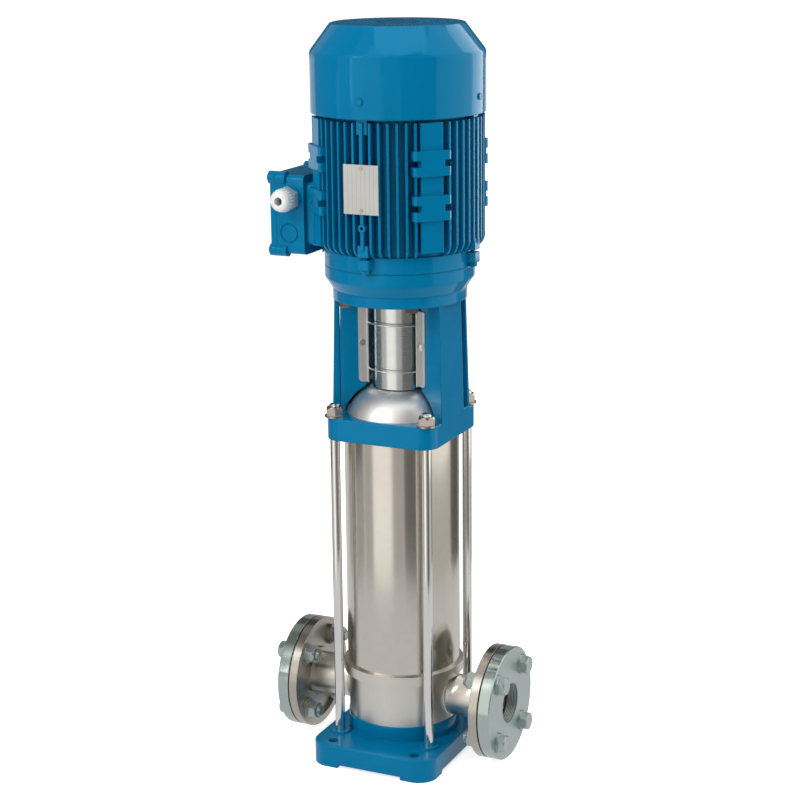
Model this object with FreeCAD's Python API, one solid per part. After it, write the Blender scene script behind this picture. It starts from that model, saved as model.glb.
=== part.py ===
"""Vertical in-line multistage pump with its electric motor, built piece by piece.

Millimetres. The origin is the centre of the base on the floor, +Z runs up the shaft axis
and +X points to the delivery flange. Suction is at -X, the terminal box is above it.
"""
import FreeCAD
import Part
import math
import os

V = FreeCAD.Vector
UP = V(0, 0, 1)
ORIGIN = V(0, 0, 0)

# Clearances
fit = 0.05
seat_gap = 0.05
bolt_clearance = 0.5

# Hexagons: corner radius and top face as shares of the width, straight share of the height
corner_share = 0.62
face_share = 0.95
straight_share = 0.6

# Radius of the pump casing, which the pieces round it follow
casing_r = 81.0

# Cast base
base_width = 192.0
base_depth = 252.0
base_corner = 28.0
base_top = 34.0
base_wall = 9.0
base_deck = 14.0
foot_height = 5.0
foot_length = 46.0
base_edge_round = 2.5
boss_inset = 1.0
rod_boss_rise = 2.5
foundation_hole_r = 7.0
foundation_edge_x = 31.0
foundation_edge_y = 18.5
foundation_boss_r = 17.0
rod_boss_r = 15.0
casing_seat = 1.0
base_ring_r = casing_r + casing_seat
base_ring_wall = 12.0
base_ring_bore = base_ring_r - base_ring_wall
base_ring_rise = 23.0
base_ring_top = base_top + base_ring_rise

# Ports, to a 50 mm nominal flange standard
port_rise = 33.0
port_height = base_ring_top + port_rise
stub_length = 69.0
port_face = casing_r + stub_length
pipe_r = 30.15
pipe_wall = 2.8
pipe_stop = 2.0
weld_bead = 2.2
flange_r = 82.5
flange_rim = 12.5
flange_web = 7.0
flange_rim_width = 11.0
flange_hub_r = 37.0
flange_bolt_circle = 125.0
flange_bolt_count = 4
flange_hole_r = 9.0
flange_boss_r = 17.0
gasket = 2.0
gasket_r = 53.5
counterflange = 17.0
thread_bore_r = 29.0
flange_bolt_r = 8.0
flange_bolt_af = 24.0
flange_bolt_head = 10.0
flange_nut = 13.0
flange_washer = 3.0
flange_washer_r = 14.5
thread_past_nut = 4.0

# Pump casing and sleeve
casing_wall = 3.0
casing_floor = 4.0
sleeve_step = 1.5
sleeve_r = casing_r + sleeve_step
casing_ring_step = 5.0
casing_ring_r = sleeve_r + casing_ring_step
casing_height = 64.6
casing_ring_low = base_ring_top + casing_height
casing_ring_height = 15.1
casing_ring_top = casing_ring_low + casing_ring_height
sleeve_wall = 2.0
sleeve_socket = 8.0
seal_cord_r = 1.6
eye_r = 34.0
chamber_r = 52.0
chamber_wall = 3.0
plug_af = 17.0
plug_head = 8.0
plug_r = 6.5
plug_drop = 14.0
plug_height = port_height - plug_drop

# Stages
stage_count = 7
stage_pitch = 45.0
stage_rise = 9.3
stage_first = casing_ring_top + stage_rise
stage_room = 10.5
stage_r = sleeve_r - stage_room
stage_wall = 2.5
impeller_room = 14.0
impeller_r = stage_r - impeller_room
impeller_eye_r = 27.0
impeller_shroud = 2.0
impeller_passage = 9.0
impeller_blades = 6
blade_thickness = 2.0
blade_steps = 4
blade_slope = 55.0
guide_blades = 6
running_gap = 1.2
pump_shaft_r = 11.0
hub_r = 17.0

# Tie rods
rod_r = 7.0
rod_spacing = 142.4
rod_foot = 12.0
rod_nut_af = 22.0
rod_nut = 12.0
rod_washer = 2.5
rod_washer_r = 14.0
rod_past_nut = 3.0

# Lantern and the domed head cover
plate_size = 170.0
plate_corner = 25.0
head_space = 20.0
plate_low = stage_first + stage_count * stage_pitch + head_space
plate_thickness = 32.0
plate_top = plate_low + plate_thickness
head_flange = 8.0
head_flange_r = sleeve_r
head_inset = 3.0
head_low = plate_low + head_inset
dome_step = 4.5
dome_r = sleeve_r - dome_step
dome_mid_r = 62.0
dome_mid_rise = 23.5
dome_mid_z = plate_top + dome_mid_rise
dome_neck_r = 42.5
dome_rise = 36.5
dome_top = plate_top + dome_rise
dome_wall = 4.0
dome_clearance = 3.0
leg_low_x = plate_size
leg_low_y = 98.0
leg_taper_x = 8.4
leg_top_x = leg_low_x - leg_taper_x
leg_taper_y = 5.0
leg_top_y = leg_low_y - leg_taper_y
leg_bore_r = 50.0
window_angle = 60.0
pocket_near = 28.0
pocket_far = 43.0
pocket_depth = 8.0
leg_height = 165.5
lantern_flange_low = plate_top + leg_height
lantern_flange = 15.2
lantern_flange_top = lantern_flange_low + lantern_flange
lantern_flange_r = 94.5
register_r = 62.0

# Coupling and its guards
coupling_r = 40.4
coupling_foot_gap = 1.5
coupling_low = dome_top + coupling_foot_gap
coupling_head_gap = 6.5
coupling_top = lantern_flange_low - coupling_head_gap
coupling_middle = (coupling_low + coupling_top) / 2
coupling_split = 0.6
coupling_screw_r = 4.0
coupling_screw_z = 28.0
coupling_screw_x = 30.0
guard_inner_gap = 5.8
guard_inner = coupling_r + guard_inner_gap
guard_width = 14.1
guard_outer = guard_inner + guard_width
guard_foot = 5.0
guard_low = coupling_low + guard_foot
guard_head = 8.0
guard_top = coupling_top - guard_head
guard_sheet = 1.5
guard_fold = 5.0
guard_wire_r = 1.1
guard_wire_rise = 21.9
guard_wire_drop = 19.8
guard_wires = (guard_low + guard_wire_rise, guard_top - guard_wire_drop)
guard_screw_rise = 2.0
guard_screw_z = coupling_middle + guard_screw_rise
guard_screw_r = 2.5
guard_screw_head_r = 4.5
guard_screw_head = 2.5

# Motor
motor_bolt_circle = 173.0
motor_bolt_angle = 36.0
motor_bolt_r = 5.0
motor_bolt_af = 16.0
motor_bolt_head = 6.4
shield_step = 11.0
shield_r = lantern_flange_r + shield_step
shield_cone = 15.3
shield_cone_top = lantern_flange_top + shield_cone
shield_seam_rise = 19.0
shield_seam = shield_cone_top + shield_seam_rise
shield_band = 23.0
shield_top = shield_seam + shield_band
shield_wall = 8.0
frame_length = 183.0
frame_top = shield_top + frame_length
fin_height = 17.5
fin_tip_r = 119.5
frame_core_r = fin_tip_r - fin_height
frame_wall = 6.0
fin_thickness = 3.4
fin_pitch = 6.0
rib_width = 5.0
pad_angle = 47.0
pad_width = 32.0
pad_r = fin_tip_r
pad_lug_drops = (54.0, 114.0)
pad_lug_z = tuple(frame_top - drop for drop in pad_lug_drops)
pad_lug_height = 34.0
pad_lug_width = 54.0
pad_lug_slot = 9.0
pad_lug_notch = 10.0
pad_lug_rise = 3.5
tie_lug_width = 16.0
tie_lug_height = 16.0
tie_lug_gap = 2.0
tie_lug_step = 1.5
tie_lug_r = fin_tip_r - tie_lug_step
shield_bolt_r = 3.0
shield_bolt_af = 11.0
shield_bolt_head = 6.4
stator_bore_r = 55.0
stator_rise = 24.0
stator_low = shield_top + stator_rise
stator_room = 63.0
stator_height = frame_length - stator_room
air_gap = 0.5
coil_inner_r = 62.0
coil_outer_r = 88.0
coil_overhang = 20.0
rotor_ring_height = 9.0
motor_shaft_r = 14.0
shaft_end_rise = 2.5
motor_shaft_end = coupling_middle + shaft_end_rise
journal_r = 15.0
core_shaft_r = 19.0
lower_bearing_rise = 3.0
lower_bearing_low = shield_cone_top + lower_bearing_rise
upper_bearing_drop = 26.0
upper_bearing_low = frame_top - upper_bearing_drop
bearing_width = 17.0
bearing_r = 33.0
bearing_race_r = 24.0
ball_r = 5.5
ball_count = 8
groove_r = 5.6
race_land = 3.2
cage_wall = 2.0
cage_height = 13.6
bearing_hub_r = 42.0
fan_shield_rise = 12.0
fan_shield_top = frame_top + fan_shield_rise
fan_shield_r = 104.0
fan_rise = 6.0
fan_low = fan_shield_top + fan_rise
fan_height = 34.0
fan_disc = 3.0
fan_r = 96.0
fan_hub_r = 22.0
fan_blades = 7
fan_blade_thickness = 3.0
fan_bore_r = 12.0
shaft_tail = 36.0
shaft_tail_top = fan_low + shaft_tail
cover_step = 1.1
cover_r = fin_tip_r + cover_step
cover_wall = 1.6
cover_gap = 4.3
cover_low = frame_top + cover_gap
cover_skirt = 67.6
cover_shoulder = cover_low + cover_skirt
cover_cone_inset = 29.1
cover_top_r = cover_r - cover_cone_inset
cover_cone = 53.3
cover_top = cover_shoulder + cover_cone
grille_rings = (26.0, 38.0, 50.0, 62.0, 74.0)
grille_slot = 7.0
grille_bridge = 5.0
grille_slots = 6
cover_screw_rise = 28.0
cover_screw_z = frame_top + cover_screw_rise
cover_screw_r = 2.5
cover_screw_head_r = 4.6
cover_screw_head = 2.6
cover_bracket_width = 14.0
cover_bracket_gap = 0.6
cover_bracket_sheet = 1.8

# Terminal box
box_face_x = 175.0
box_overlap = 0.5
box_back_x = fin_tip_r - box_overlap
box_half_y = 59.0
box_drop = 13.0
box_low = shield_top - box_drop
box_length = 112.0
box_high = box_low + box_length
box_corner = 7.0
box_wall = 4.0
lid_depth = 12.0
lid_screw_r = 2.5
lid_lug = 9.0
lid_screw_head_r = 4.5
lid_screw_head = 3.0
neck_half_y = 53.0
neck_low = shield_top + 2 * seat_gap
neck_drop = 10.0
neck_high = box_high - neck_drop
neck_wall = 12.0
neck_root_x = 84.0
gland_x = 143.0
gland_drop = 33.0
gland_z = box_high - gland_drop
gland_hex_af = 31.0
gland_hex = 9.0
gland_neck_r = 12.5
gland_neck = 6.0
gland_nut_r = 15.5
gland_nut_length = 20.0
gland_bore_r = 6.0
gland_thread_r = 12.4
gland_thread = 10.0
knockout_rise = 30.0
knockout_z = box_low + knockout_rise
knockout_r = 14.0
knockout_groove = 1.6
block_length = 60.0
block_width = 34.0
block_height = 12.0
stud_r = 2.5
stud_length = 14.0

# Nameplate, left blank
plate_half_width = 26.0
nameplate_drop = 122.0
nameplate_low = frame_top - nameplate_drop
nameplate_length = 67.0
nameplate_high = nameplate_low + nameplate_length
nameplate_sheet = 1.0
rivet_r = 1.8
rivet_inset = 5.0
guard_screw_length = 12.0
motor_bolt_reach = 14.0
shaft_passage_r = 21.5
tie_bolt_inset = 7.0
tie_bolt_circle_r = tie_lug_r - tie_bolt_inset
earth_boss_drop = 19.0
earth_boss_z = nameplate_low - earth_boss_drop
stator_slots = 18
seal_seat_r = 19.0
seal_depth = 12.0
seal_rotor_length = 26.0
seal_face_gap = 0.02

# Worked-out places
foundation_x = base_width - 2 * foundation_edge_x
foundation_y = base_depth - 2 * foundation_edge_y
counter_face = port_face + gasket + counterflange
casing_bore = casing_r - casing_wall
sleeve_low = casing_ring_top - sleeve_socket
sleeve_bore = sleeve_r - sleeve_wall
head_top = head_low + head_flange
stage_last = stage_first + stage_count * stage_pitch
rod_places = [(x * rod_spacing / 2, y * rod_spacing / 2) for x in (-1, 1) for y in (-1, 1)]
upper_bearing_top = upper_bearing_low + bearing_width
lower_bearing_top = lower_bearing_low + bearing_width
core_top = stator_low + stator_height

os.makedirs("parts", exist_ok=True)


def save(name, shape):
    """Write one node of the pump."""
    shape.exportStep("parts/" + name + ".step")


def cylinder(radius, low, high, x=0.0, y=0.0):
    return Part.makeCylinder(radius, high - low, V(x, y, low), UP)


def ring(outer, inner, low, high, x=0.0, y=0.0):
    return cylinder(outer, low, high, x, y).cut(cylinder(inner, low, high, x, y))


def box(x_low, x_high, y_low, y_high, z_low, z_high):
    return Part.makeBox(x_high - x_low, y_high - y_low, z_high - z_low, V(x_low, y_low, z_low))


def rounded_block(width, depth, corner, low, high):
    block = box(-width / 2, width / 2, -depth / 2, depth / 2, low, high)
    upright = [e for e in block.Edges if abs(e.tangentAt(0).z) > 0.99]
    return block.makeFillet(corner, upright)


def line(a, b):
    return Part.LineSegment(V(a[0], 0, a[1]), V(b[0], 0, b[1])).toShape()


def arc(a, middle, b):
    return Part.Arc(V(a[0], 0, a[1]), V(middle[0], 0, middle[1]), V(b[0], 0, b[1])).toShape()


def turned(edges):
    """Turn a closed outline of radius and height pairs about the shaft axis."""
    face = Part.Face(Part.Wire(Part.__sortEdges__(edges)))
    return face.revolve(ORIGIN, UP, 360)


def turned_points(points):
    edges = [line(points[i - 1], points[i]) for i in range(len(points))]
    return turned(edges)


def hexagon(across_flats, low, high, x=0.0, y=0.0, turn=0.0):
    radius = across_flats / math.sqrt(3)
    corners = []
    for i in range(7):
        angle = math.radians(60 * i + turn)
        corners.append(V(x + radius * math.cos(angle), y + radius * math.sin(angle), low))
    return Part.Face(Part.makePolygon(corners)).extrude(V(0, 0, high - low))


def spun(shape, angle):
    """A copy turned about the shaft axis by an angle from the front, towards +X."""
    copy = shape.copy()
    copy.rotate(ORIGIN, UP, angle)
    return copy


def along_x(shape, side, height):
    """Lay a shape made about +Z along the port axis, so its +Z looks out of that port."""
    copy = shape.copy()
    copy.rotate(ORIGIN, V(0, 1, 0), 90 * side)
    copy.translate(V(0, 0, height))
    return copy


def along_front(shape):
    """Lay a shape made about +Z so that its +Z looks to the front, -Y."""
    copy = shape.copy()
    copy.rotate(ORIGIN, V(1, 0, 0), 90)
    return copy


def group(shapes):
    return Part.makeCompound(shapes)


def sector(radius, half_angle, low, high):
    """A wedge open to the front, as wide as half_angle each side."""
    reach = radius / math.cos(math.radians(half_angle / 2))
    corners = [V(0, 0, low)]
    for step in (-1.0, -0.5, 0.0, 0.5, 1.0):
        angle = math.radians(half_angle * step)
        corners.append(V(reach * math.sin(angle), -reach * math.cos(angle), low))
    corners.append(corners[0])
    return Part.Face(Part.makePolygon(corners)).extrude(V(0, 0, high - low))


def hexagon_blank(across_flats, height):
    """Hexagon from z=0 up whose upper corners are turned off."""
    outside = across_flats * corner_share
    straight = height * straight_share
    cone = Part.makeCone(outside, across_flats / 2 * face_share, height - straight, V(0, 0, straight), UP)
    return hexagon(across_flats, 0, height).common(cylinder(outside, 0, straight).fuse(cone))


def bolt(radius, head_af, head, length):
    """Hexagon-head bolt, its head on top of z=0 and its shank below."""
    return hexagon_blank(head_af, head).fuse(cylinder(radius, -length, 0)).removeSplitter()


def nut(radius, across_flats, thickness):
    """Hexagon nut about +Z from z=0."""
    return hexagon_blank(across_flats, thickness).cut(cylinder(radius + fit, 0, thickness))


def make_base():
    body = rounded_block(base_width, base_depth, base_corner, 0, base_top)
    rim = [e for e in body.Edges if abs(e.BoundBox.ZMin - base_top) < 0.01]
    body = body.makeFillet(base_edge_round, rim)
    inside = rounded_block(base_width - 2 * base_wall, base_depth - 2 * base_wall,
                           base_corner - base_wall, 0, base_top - base_deck)
    body = body.cut(inside)
    gap_x = base_width / 2 - foot_length
    gap_y = base_depth / 2 - foot_length
    body = body.cut(box(-gap_x, gap_x, -base_depth, base_depth, 0, foot_height))
    body = body.cut(box(-base_width, base_width, -gap_y, gap_y, 0, foot_height))
    body = body.fuse(ring(base_ring_r, base_ring_bore, base_top - base_deck, base_ring_top))
    for x in (-1, 1):
        for y in (-1, 1):
            hole_x = x * foundation_x / 2
            hole_y = y * foundation_y / 2
            inner = rounded_block(base_width - 2 * boss_inset, base_depth - 2 * boss_inset, base_corner,
                                  0, base_top - foot_height)
            boss = cylinder(foundation_boss_r, 0, base_top - foot_height, hole_x, hole_y).common(inner)
            body = body.fuse(boss)
    for x, y in rod_places:
        body = body.fuse(cylinder(rod_boss_r, foot_height + 1, base_top + rod_boss_rise, x, y))
    for x in (-1, 1):
        for y in (-1, 1):
            body = body.cut(cylinder(foundation_hole_r, -1, base_top + 1,
                                     x * foundation_x / 2, y * foundation_y / 2))
    for x, y in rod_places:
        body = body.cut(cylinder(rod_r + fit, rod_foot, base_top + 5, x, y))
    body = body.cut(cylinder(base_ring_bore, 0, base_top + 1))
    return body.removeSplitter()


def make_casing():
    low = base_ring_top
    body = turned_points([
        (0, low - 4), (base_ring_bore - seat_gap * 2, low - 4), (base_ring_bore - seat_gap * 2, low),
        (casing_r, low), (casing_r, casing_ring_low), (casing_ring_r, casing_ring_low),
        (casing_ring_r, casing_ring_top), (sleeve_r + fit, casing_ring_top),
        (sleeve_r + fit, sleeve_low), (casing_bore, sleeve_low),
        (casing_bore, low + casing_floor), (0, low + casing_floor)])
    for side in (-1, 1):
        tube = along_x(cylinder(pipe_r, casing_bore - 8, port_face - pipe_stop), side, port_height)
        bead = along_x(Part.makeTorus(pipe_r, weld_bead, V(0, 0, casing_r - 4), UP), side, port_height)
        body = body.fuse(tube).fuse(bead)
    for side in (-1, 1):
        body = body.cut(along_x(cylinder(pipe_r - pipe_wall, casing_bore - 14, port_face), side,
                                port_height))
    body = body.cut(cylinder(casing_bore, low + casing_floor, sleeve_low))
    body = body.cut(along_back(cylinder(plug_r + fit, 0, casing_r + 10), plug_height))
    return body.removeSplitter()


def along_back(shape, height):
    """Lay a shape made about +Z so that its +Z looks to the back, +Y."""
    copy = shape.copy()
    copy.rotate(ORIGIN, V(1, 0, 0), -90)
    copy.translate(V(0, 0, height))
    return copy


def make_drain_plug():
    head = hexagon(plug_af, casing_r, casing_r + plug_head)
    stem = cylinder(plug_r, casing_bore - 1, casing_r)
    collar = cylinder(plug_af * corner_share, casing_r, casing_r + 1.5)
    return along_back(head.fuse(stem).fuse(collar), plug_height)


def make_suction_chamber():
    """Cup inside the casing that leads the inlet pipe to the eye of the first impeller."""
    low = base_ring_top + casing_floor
    high = sleeve_low
    cup = ring(chamber_r, chamber_r - chamber_wall, low, high)
    lid = ring(casing_bore - 6, eye_r, high, high + chamber_wall)
    tube = along_x(cylinder(pipe_r - pipe_wall - 0.3, chamber_r - 6, casing_bore + 6), -1, port_height)
    hole = along_x(cylinder(pipe_r - 2 * pipe_wall - 0.3, 0, casing_bore + 8), -1, port_height)
    return cup.fuse(lid).fuse(tube).cut(hole).removeSplitter()


def flange_holes(low, high):
    holes = []
    for i in range(flange_bolt_count):
        angle = math.radians(45 + 360 * i / flange_bolt_count)
        x = flange_bolt_circle / 2 * math.cos(angle)
        y = flange_bolt_circle / 2 * math.sin(angle)
        holes.append(cylinder(flange_hole_r, low, high, x, y))
    return holes


def make_flange(side):
    """Relieved flange: a rim, a thin web, a hub round the pipe and a boss at each bolt."""
    back = port_face - flange_rim
    web_back = port_face - flange_web
    body = cylinder(flange_r, back, port_face)
    recess = ring(flange_r - flange_rim_width, flange_hub_r, back, web_back)
    for i in range(flange_bolt_count):
        angle = math.radians(45 + 360 * i / flange_bolt_count)
        x = flange_bolt_circle / 2 * math.cos(angle)
        y = flange_bolt_circle / 2 * math.sin(angle)
        recess = recess.cut(cylinder(flange_boss_r, back, web_back, x, y))
    body = body.cut(recess)
    for hole in flange_holes(back - 1, port_face + 1):
        body = body.cut(hole)
    body = body.cut(cylinder(pipe_r + fit, back - 1, port_face - pipe_stop))
    body = body.cut(cylinder(pipe_r - pipe_wall, back, port_face + 1))
    return along_x(body, side, port_height)


def make_gasket(side):
    return along_x(ring(gasket_r, thread_bore_r, port_face, port_face + gasket), side, port_height)


def make_counterflange(side):
    low = port_face + gasket
    body = cylinder(flange_r, low, counter_face)
    edges = [e for e in body.Edges if len(e.Vertexes) == 1 and abs(e.BoundBox.ZMin - counter_face) < 0.01]
    body = body.makeChamfer(1.0, edges)
    for hole in flange_holes(low - 1, counter_face + 1):
        body = body.cut(hole)
    body = body.cut(cylinder(thread_bore_r, low - 1, counter_face + 1))
    return along_x(body, side, port_height)


def flange_bolt_places(shape, side):
    """Copies of a shape made about +Z, one at each bolt of that side's flange."""
    copies = []
    for i in range(flange_bolt_count):
        angle = math.radians(45 + 360 * i / flange_bolt_count)
        copy = shape.copy()
        copy.translate(V(flange_bolt_circle / 2 * math.cos(angle),
                         flange_bolt_circle / 2 * math.sin(angle), 0))
        copies.append(along_x(copy, side, port_height))
    return copies


def make_flange_fasteners():
    back = port_face - flange_rim
    grip = counter_face - back + 2 * flange_washer
    screw = bolt(flange_bolt_r, flange_bolt_af, flange_bolt_head, grip + flange_nut + thread_past_nut)
    screw.translate(V(0, 0, counter_face + flange_washer))
    nut_low = back - flange_washer - flange_nut
    turned_nut = nut(flange_bolt_r, flange_bolt_af, flange_nut)
    turned_nut.rotate(V(0, 0, flange_nut / 2), V(1, 0, 0), 180)
    turned_nut.translate(V(0, 0, nut_low))
    outer = ring(flange_washer_r, flange_bolt_r + fit, counter_face, counter_face + flange_washer)
    inner = ring(flange_washer_r, flange_bolt_r + fit, back - flange_washer, back)
    screws = []
    nuts = []
    washers = []
    for side in (-1, 1):
        screws += flange_bolt_places(screw, side)
        nuts += flange_bolt_places(turned_nut, side)
        washers += flange_bolt_places(outer, side) + flange_bolt_places(inner, side)
    save("flange_bolts", group(screws))
    save("flange_nuts", group(nuts))
    save("flange_washers", group(washers))


def make_sleeve():
    return ring(sleeve_r, sleeve_bore, sleeve_low, head_low)


def make_sleeve_seals():
    """Round rings that sit in the casing and head cover, just inside the sleeve's two ends."""
    rings = []
    for height in (sleeve_low + 2 * seal_cord_r, head_low - 2 * seal_cord_r):
        rings.append(Part.makeTorus(sleeve_bore - seal_cord_r - 0.02, seal_cord_r, V(0, 0, height), UP))
    return group(rings)


def blade(inner, outer, thickness, low, high, sweep):
    """A blade that sweeps round evenly from the inner to the outer radius."""
    near = []
    far = []
    for i in range(blade_steps + 1):
        share = i / blade_steps
        radius = inner + (outer - inner) * share
        angle = math.radians(sweep * share)
        half_turn = thickness / 2 / radius / math.cos(math.radians(blade_slope))
        near.append(V(radius * math.cos(angle - half_turn), radius * math.sin(angle - half_turn), low))
        far.append(V(radius * math.cos(angle + half_turn), radius * math.sin(angle + half_turn), low))
    outline = near + far[::-1] + [near[0]]
    return Part.Face(Part.makePolygon(outline)).extrude(V(0, 0, high - low))


def make_stage_casing(low):
    """One stage bowl: a wall, a floor with the eye, and guide blades above the impeller."""
    eye = impeller_eye_r + running_gap
    high = low + stage_pitch
    deck = low + stage_pitch - 12
    bowl = ring(stage_r, stage_r - stage_wall, low, high)
    bowl = bowl.fuse(ring(stage_r, eye, low, low + stage_wall))
    bowl = bowl.fuse(ring(stage_r - stage_wall - 6, hub_r + 2.5, deck, deck + 2))
    guide = blade(hub_r + 5, stage_r - stage_wall + 0.5, blade_thickness, deck + 2, high, -50)
    for i in range(guide_blades):
        bowl = bowl.fuse(spun(guide, 360 * i / guide_blades))
    return bowl.removeSplitter()


def make_impeller(low):
    """Closed impeller: two plates, swept blades between them, and a hub on the shaft."""
    bottom = low + stage_wall + running_gap + 2
    passage_low = bottom + impeller_shroud
    passage_high = passage_low + impeller_passage
    top = passage_high + impeller_shroud
    eye_bore = impeller_eye_r - 3
    body = turned_points([(impeller_r, bottom), (impeller_r, passage_low), (eye_bore, passage_low),
                          (eye_bore, low + 0.5), (impeller_eye_r, low + 0.5), (impeller_eye_r, bottom)])
    hub = turned_points([(impeller_r, passage_high), (impeller_r, top), (hub_r, top), (hub_r, low + stage_pitch),
                         (pump_shaft_r, low + stage_pitch), (pump_shaft_r, low), (hub_r, low),
                         (hub_r, passage_high)])
    vane = blade(impeller_eye_r + 1, impeller_r - 2, blade_thickness, passage_low - 0.5, passage_high + 0.5, 62)
    vanes = [spun(vane, 360 * i / impeller_blades) for i in range(impeller_blades)]
    return body.multiFuse([hub] + vanes)


def make_stages():
    bowls = []
    wheels = []
    for i in range(stage_count):
        low = stage_first + i * stage_pitch
        bowls.append(make_stage_casing(low))
        wheels.append(make_impeller(low))
    save("stage_casings", group(bowls))
    save("impellers", group(wheels))


def make_stack_support():
    """Ring that carries the stage bowls on the suction chamber and another that presses them down."""
    low = sleeve_low + chamber_wall
    support = ring(stage_r, stage_r - 8, low, stage_first)
    top = ring(stage_r, stage_r - 8, stage_last, head_low)
    return support, top


def make_pump_shaft():
    end = coupling_middle - 2
    shaft = cylinder(pump_shaft_r, stage_first - 26, end)
    shaft = shaft.fuse(cylinder(hub_r, stage_last, stage_last + 8))
    return shaft.removeSplitter()


def make_shaft_nut():
    piece = nut(pump_shaft_r, 32.0, 12.0)
    piece.translate(V(0, 0, stage_first - 12.0))
    return piece


def make_head_cover():
    """Domed head cover: a flange under the lantern plate and a shell up to the shaft seal."""
    inner = dome_wall
    seal_bore = seal_seat_r + fit
    return turned([
        line((dome_r, head_top), (head_flange_r, head_top)),
        line((head_flange_r, head_top), (head_flange_r, head_low)),
        line((head_flange_r, head_low), (dome_r - inner, head_low)),
        line((dome_r - inner, head_low), (dome_r - inner, plate_top - 2)),
        arc((dome_r - inner, plate_top - 2), (dome_mid_r - inner + 0.6, dome_mid_z - inner * 0.7),
            (dome_neck_r, dome_top - inner - 0.8)),
        line((dome_neck_r, dome_top - inner - 0.8), (seal_bore + 5, dome_top - inner - 0.8)),
        line((seal_bore + 5, dome_top - inner - 0.8), (seal_bore + 5, dome_top - seal_depth)),
        line((seal_bore + 5, dome_top - seal_depth), (seal_bore, dome_top - seal_depth)),
        line((seal_bore, dome_top - seal_depth), (seal_bore, dome_top - 3)),
        line((seal_bore, dome_top - 3), (pump_shaft_r + 2, dome_top - 3)),
        line((pump_shaft_r + 2, dome_top - 3), (pump_shaft_r + 2, dome_top)),
        line((pump_shaft_r + 2, dome_top), (dome_neck_r, dome_top)),
        arc((dome_neck_r, dome_top), (dome_mid_r, dome_mid_z), (dome_r, plate_top)),
        line((dome_r, plate_top), (dome_r, head_top))])


def make_lantern():
    plate = rounded_block(plate_size, plate_size, plate_corner, plate_low, plate_top)
    edges = [e for e in plate.Edges if abs(e.BoundBox.ZMin - plate_top) < 0.01]
    plate = plate.makeFillet(2.0, edges)
    low = Part.makePolygon([V(x * leg_low_x / 2, y * leg_low_y / 2, plate_top - 1)
                            for x, y in ((-1, -1), (1, -1), (1, 1), (-1, 1), (-1, -1))])
    high = Part.makePolygon([V(x * leg_top_x / 2, y * leg_top_y / 2, lantern_flange_low + 1)
                             for x, y in ((-1, -1), (1, -1), (1, 1), (-1, 1), (-1, -1))])
    tower = Part.makeLoft([low, high], True, True)
    pocket = box(leg_top_x / 2 - pocket_depth, leg_low_x / 2 + 5, pocket_near, pocket_far,
                 plate_top + 3, lantern_flange_low - 4)
    tower = tower.cut(pocket).cut(spun(pocket, 180))
    wedge = sector(leg_low_x, window_angle, plate_top - 1, lantern_flange_low + 1)
    tower = tower.cut(wedge).cut(spun(wedge, 180))
    tower = tower.cut(cylinder(leg_bore_r, plate_top - 1, lantern_flange_low + 1))
    body = plate.fuse(tower).fuse(ring(lantern_flange_r, register_r, lantern_flange_low, lantern_flange_top))
    body = body.cut(cylinder(dome_r + 0.3, plate_low - 1, plate_top + 1))
    body = body.cut(cylinder(head_flange_r + fit, plate_low - 1, head_top))
    body = body.cut(dome_room())
    for x, y in rod_places:
        body = body.cut(cylinder(rod_r + bolt_clearance, plate_low - 1, plate_top + 1, x, y))
        body = body.cut(cylinder(rod_washer_r + bolt_clearance, plate_top, plate_top + 30, x, y))
    for hole in guard_screw_holes():
        body = body.cut(hole)
    for angle in motor_bolt_angles():
        body = body.cut(spun(cylinder(motor_bolt_r + bolt_clearance, lantern_flange_low - 1,
                                      lantern_flange_top + 1, 0, -motor_bolt_circle / 2), angle))
    return body.removeSplitter()


def guard_screw_holes():
    middle = (guard_inner + guard_outer) / 2 + 1
    holes = []
    for side in (-1, 1):
        hole = Part.makeCylinder(guard_screw_r + fit, guard_screw_length + 2,
                                 V(side * middle, -1, guard_screw_z), V(0, 1, 0))
        hole.rotate(ORIGIN, UP, side * (window_angle - 90))
        holes.append(hole)
        holes.append(spun(hole, 180))
    return holes


def motor_bolt_angles():
    return (-motor_bolt_angle, motor_bolt_angle, 180 - motor_bolt_angle, 180 + motor_bolt_angle)


def dome_room():
    """Room for the dome and a narrow gap all round it."""
    gap = dome_clearance
    return turned([
        line((0, plate_top), (dome_r + 0.3, plate_top)),
        line((dome_r + 0.3, plate_top), (dome_r + gap, plate_top + 2)),
        arc((dome_r + gap, plate_top + 2), (dome_mid_r + gap, dome_mid_z + gap), (dome_neck_r, dome_top + gap + 1)),
        line((dome_neck_r, dome_top + gap + 1), (0, dome_top + gap + 1)),
        line((0, dome_top + gap + 1), (0, plate_top))])


def make_rods():
    rods = []
    washers = []
    nuts = []
    top = plate_top + rod_washer + rod_nut + rod_past_nut
    for x, y in rod_places:
        rods.append(cylinder(rod_r, rod_foot + fit, top, x, y))
        washers.append(ring(rod_washer_r, rod_r + fit, plate_top, plate_top + rod_washer, x, y))
        piece = nut(rod_r, rod_nut_af, rod_nut)
        piece.translate(V(x, y, plate_top + rod_washer))
        nuts.append(piece)
    save("tie_rods", group(rods))
    save("tie_rod_washers", group(washers))
    save("tie_rod_nuts", group(nuts))


def make_seal():
    """Stationary ring in the dome and rotating ring on the shaft, face to face."""
    face = dome_top - seal_depth
    seat = ring(seal_seat_r, pump_shaft_r + 1.5, face, dome_top - 3)
    rotor = ring(seal_seat_r - 1, pump_shaft_r, face - seal_rotor_length, face - seal_face_gap)
    return seat, rotor


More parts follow.
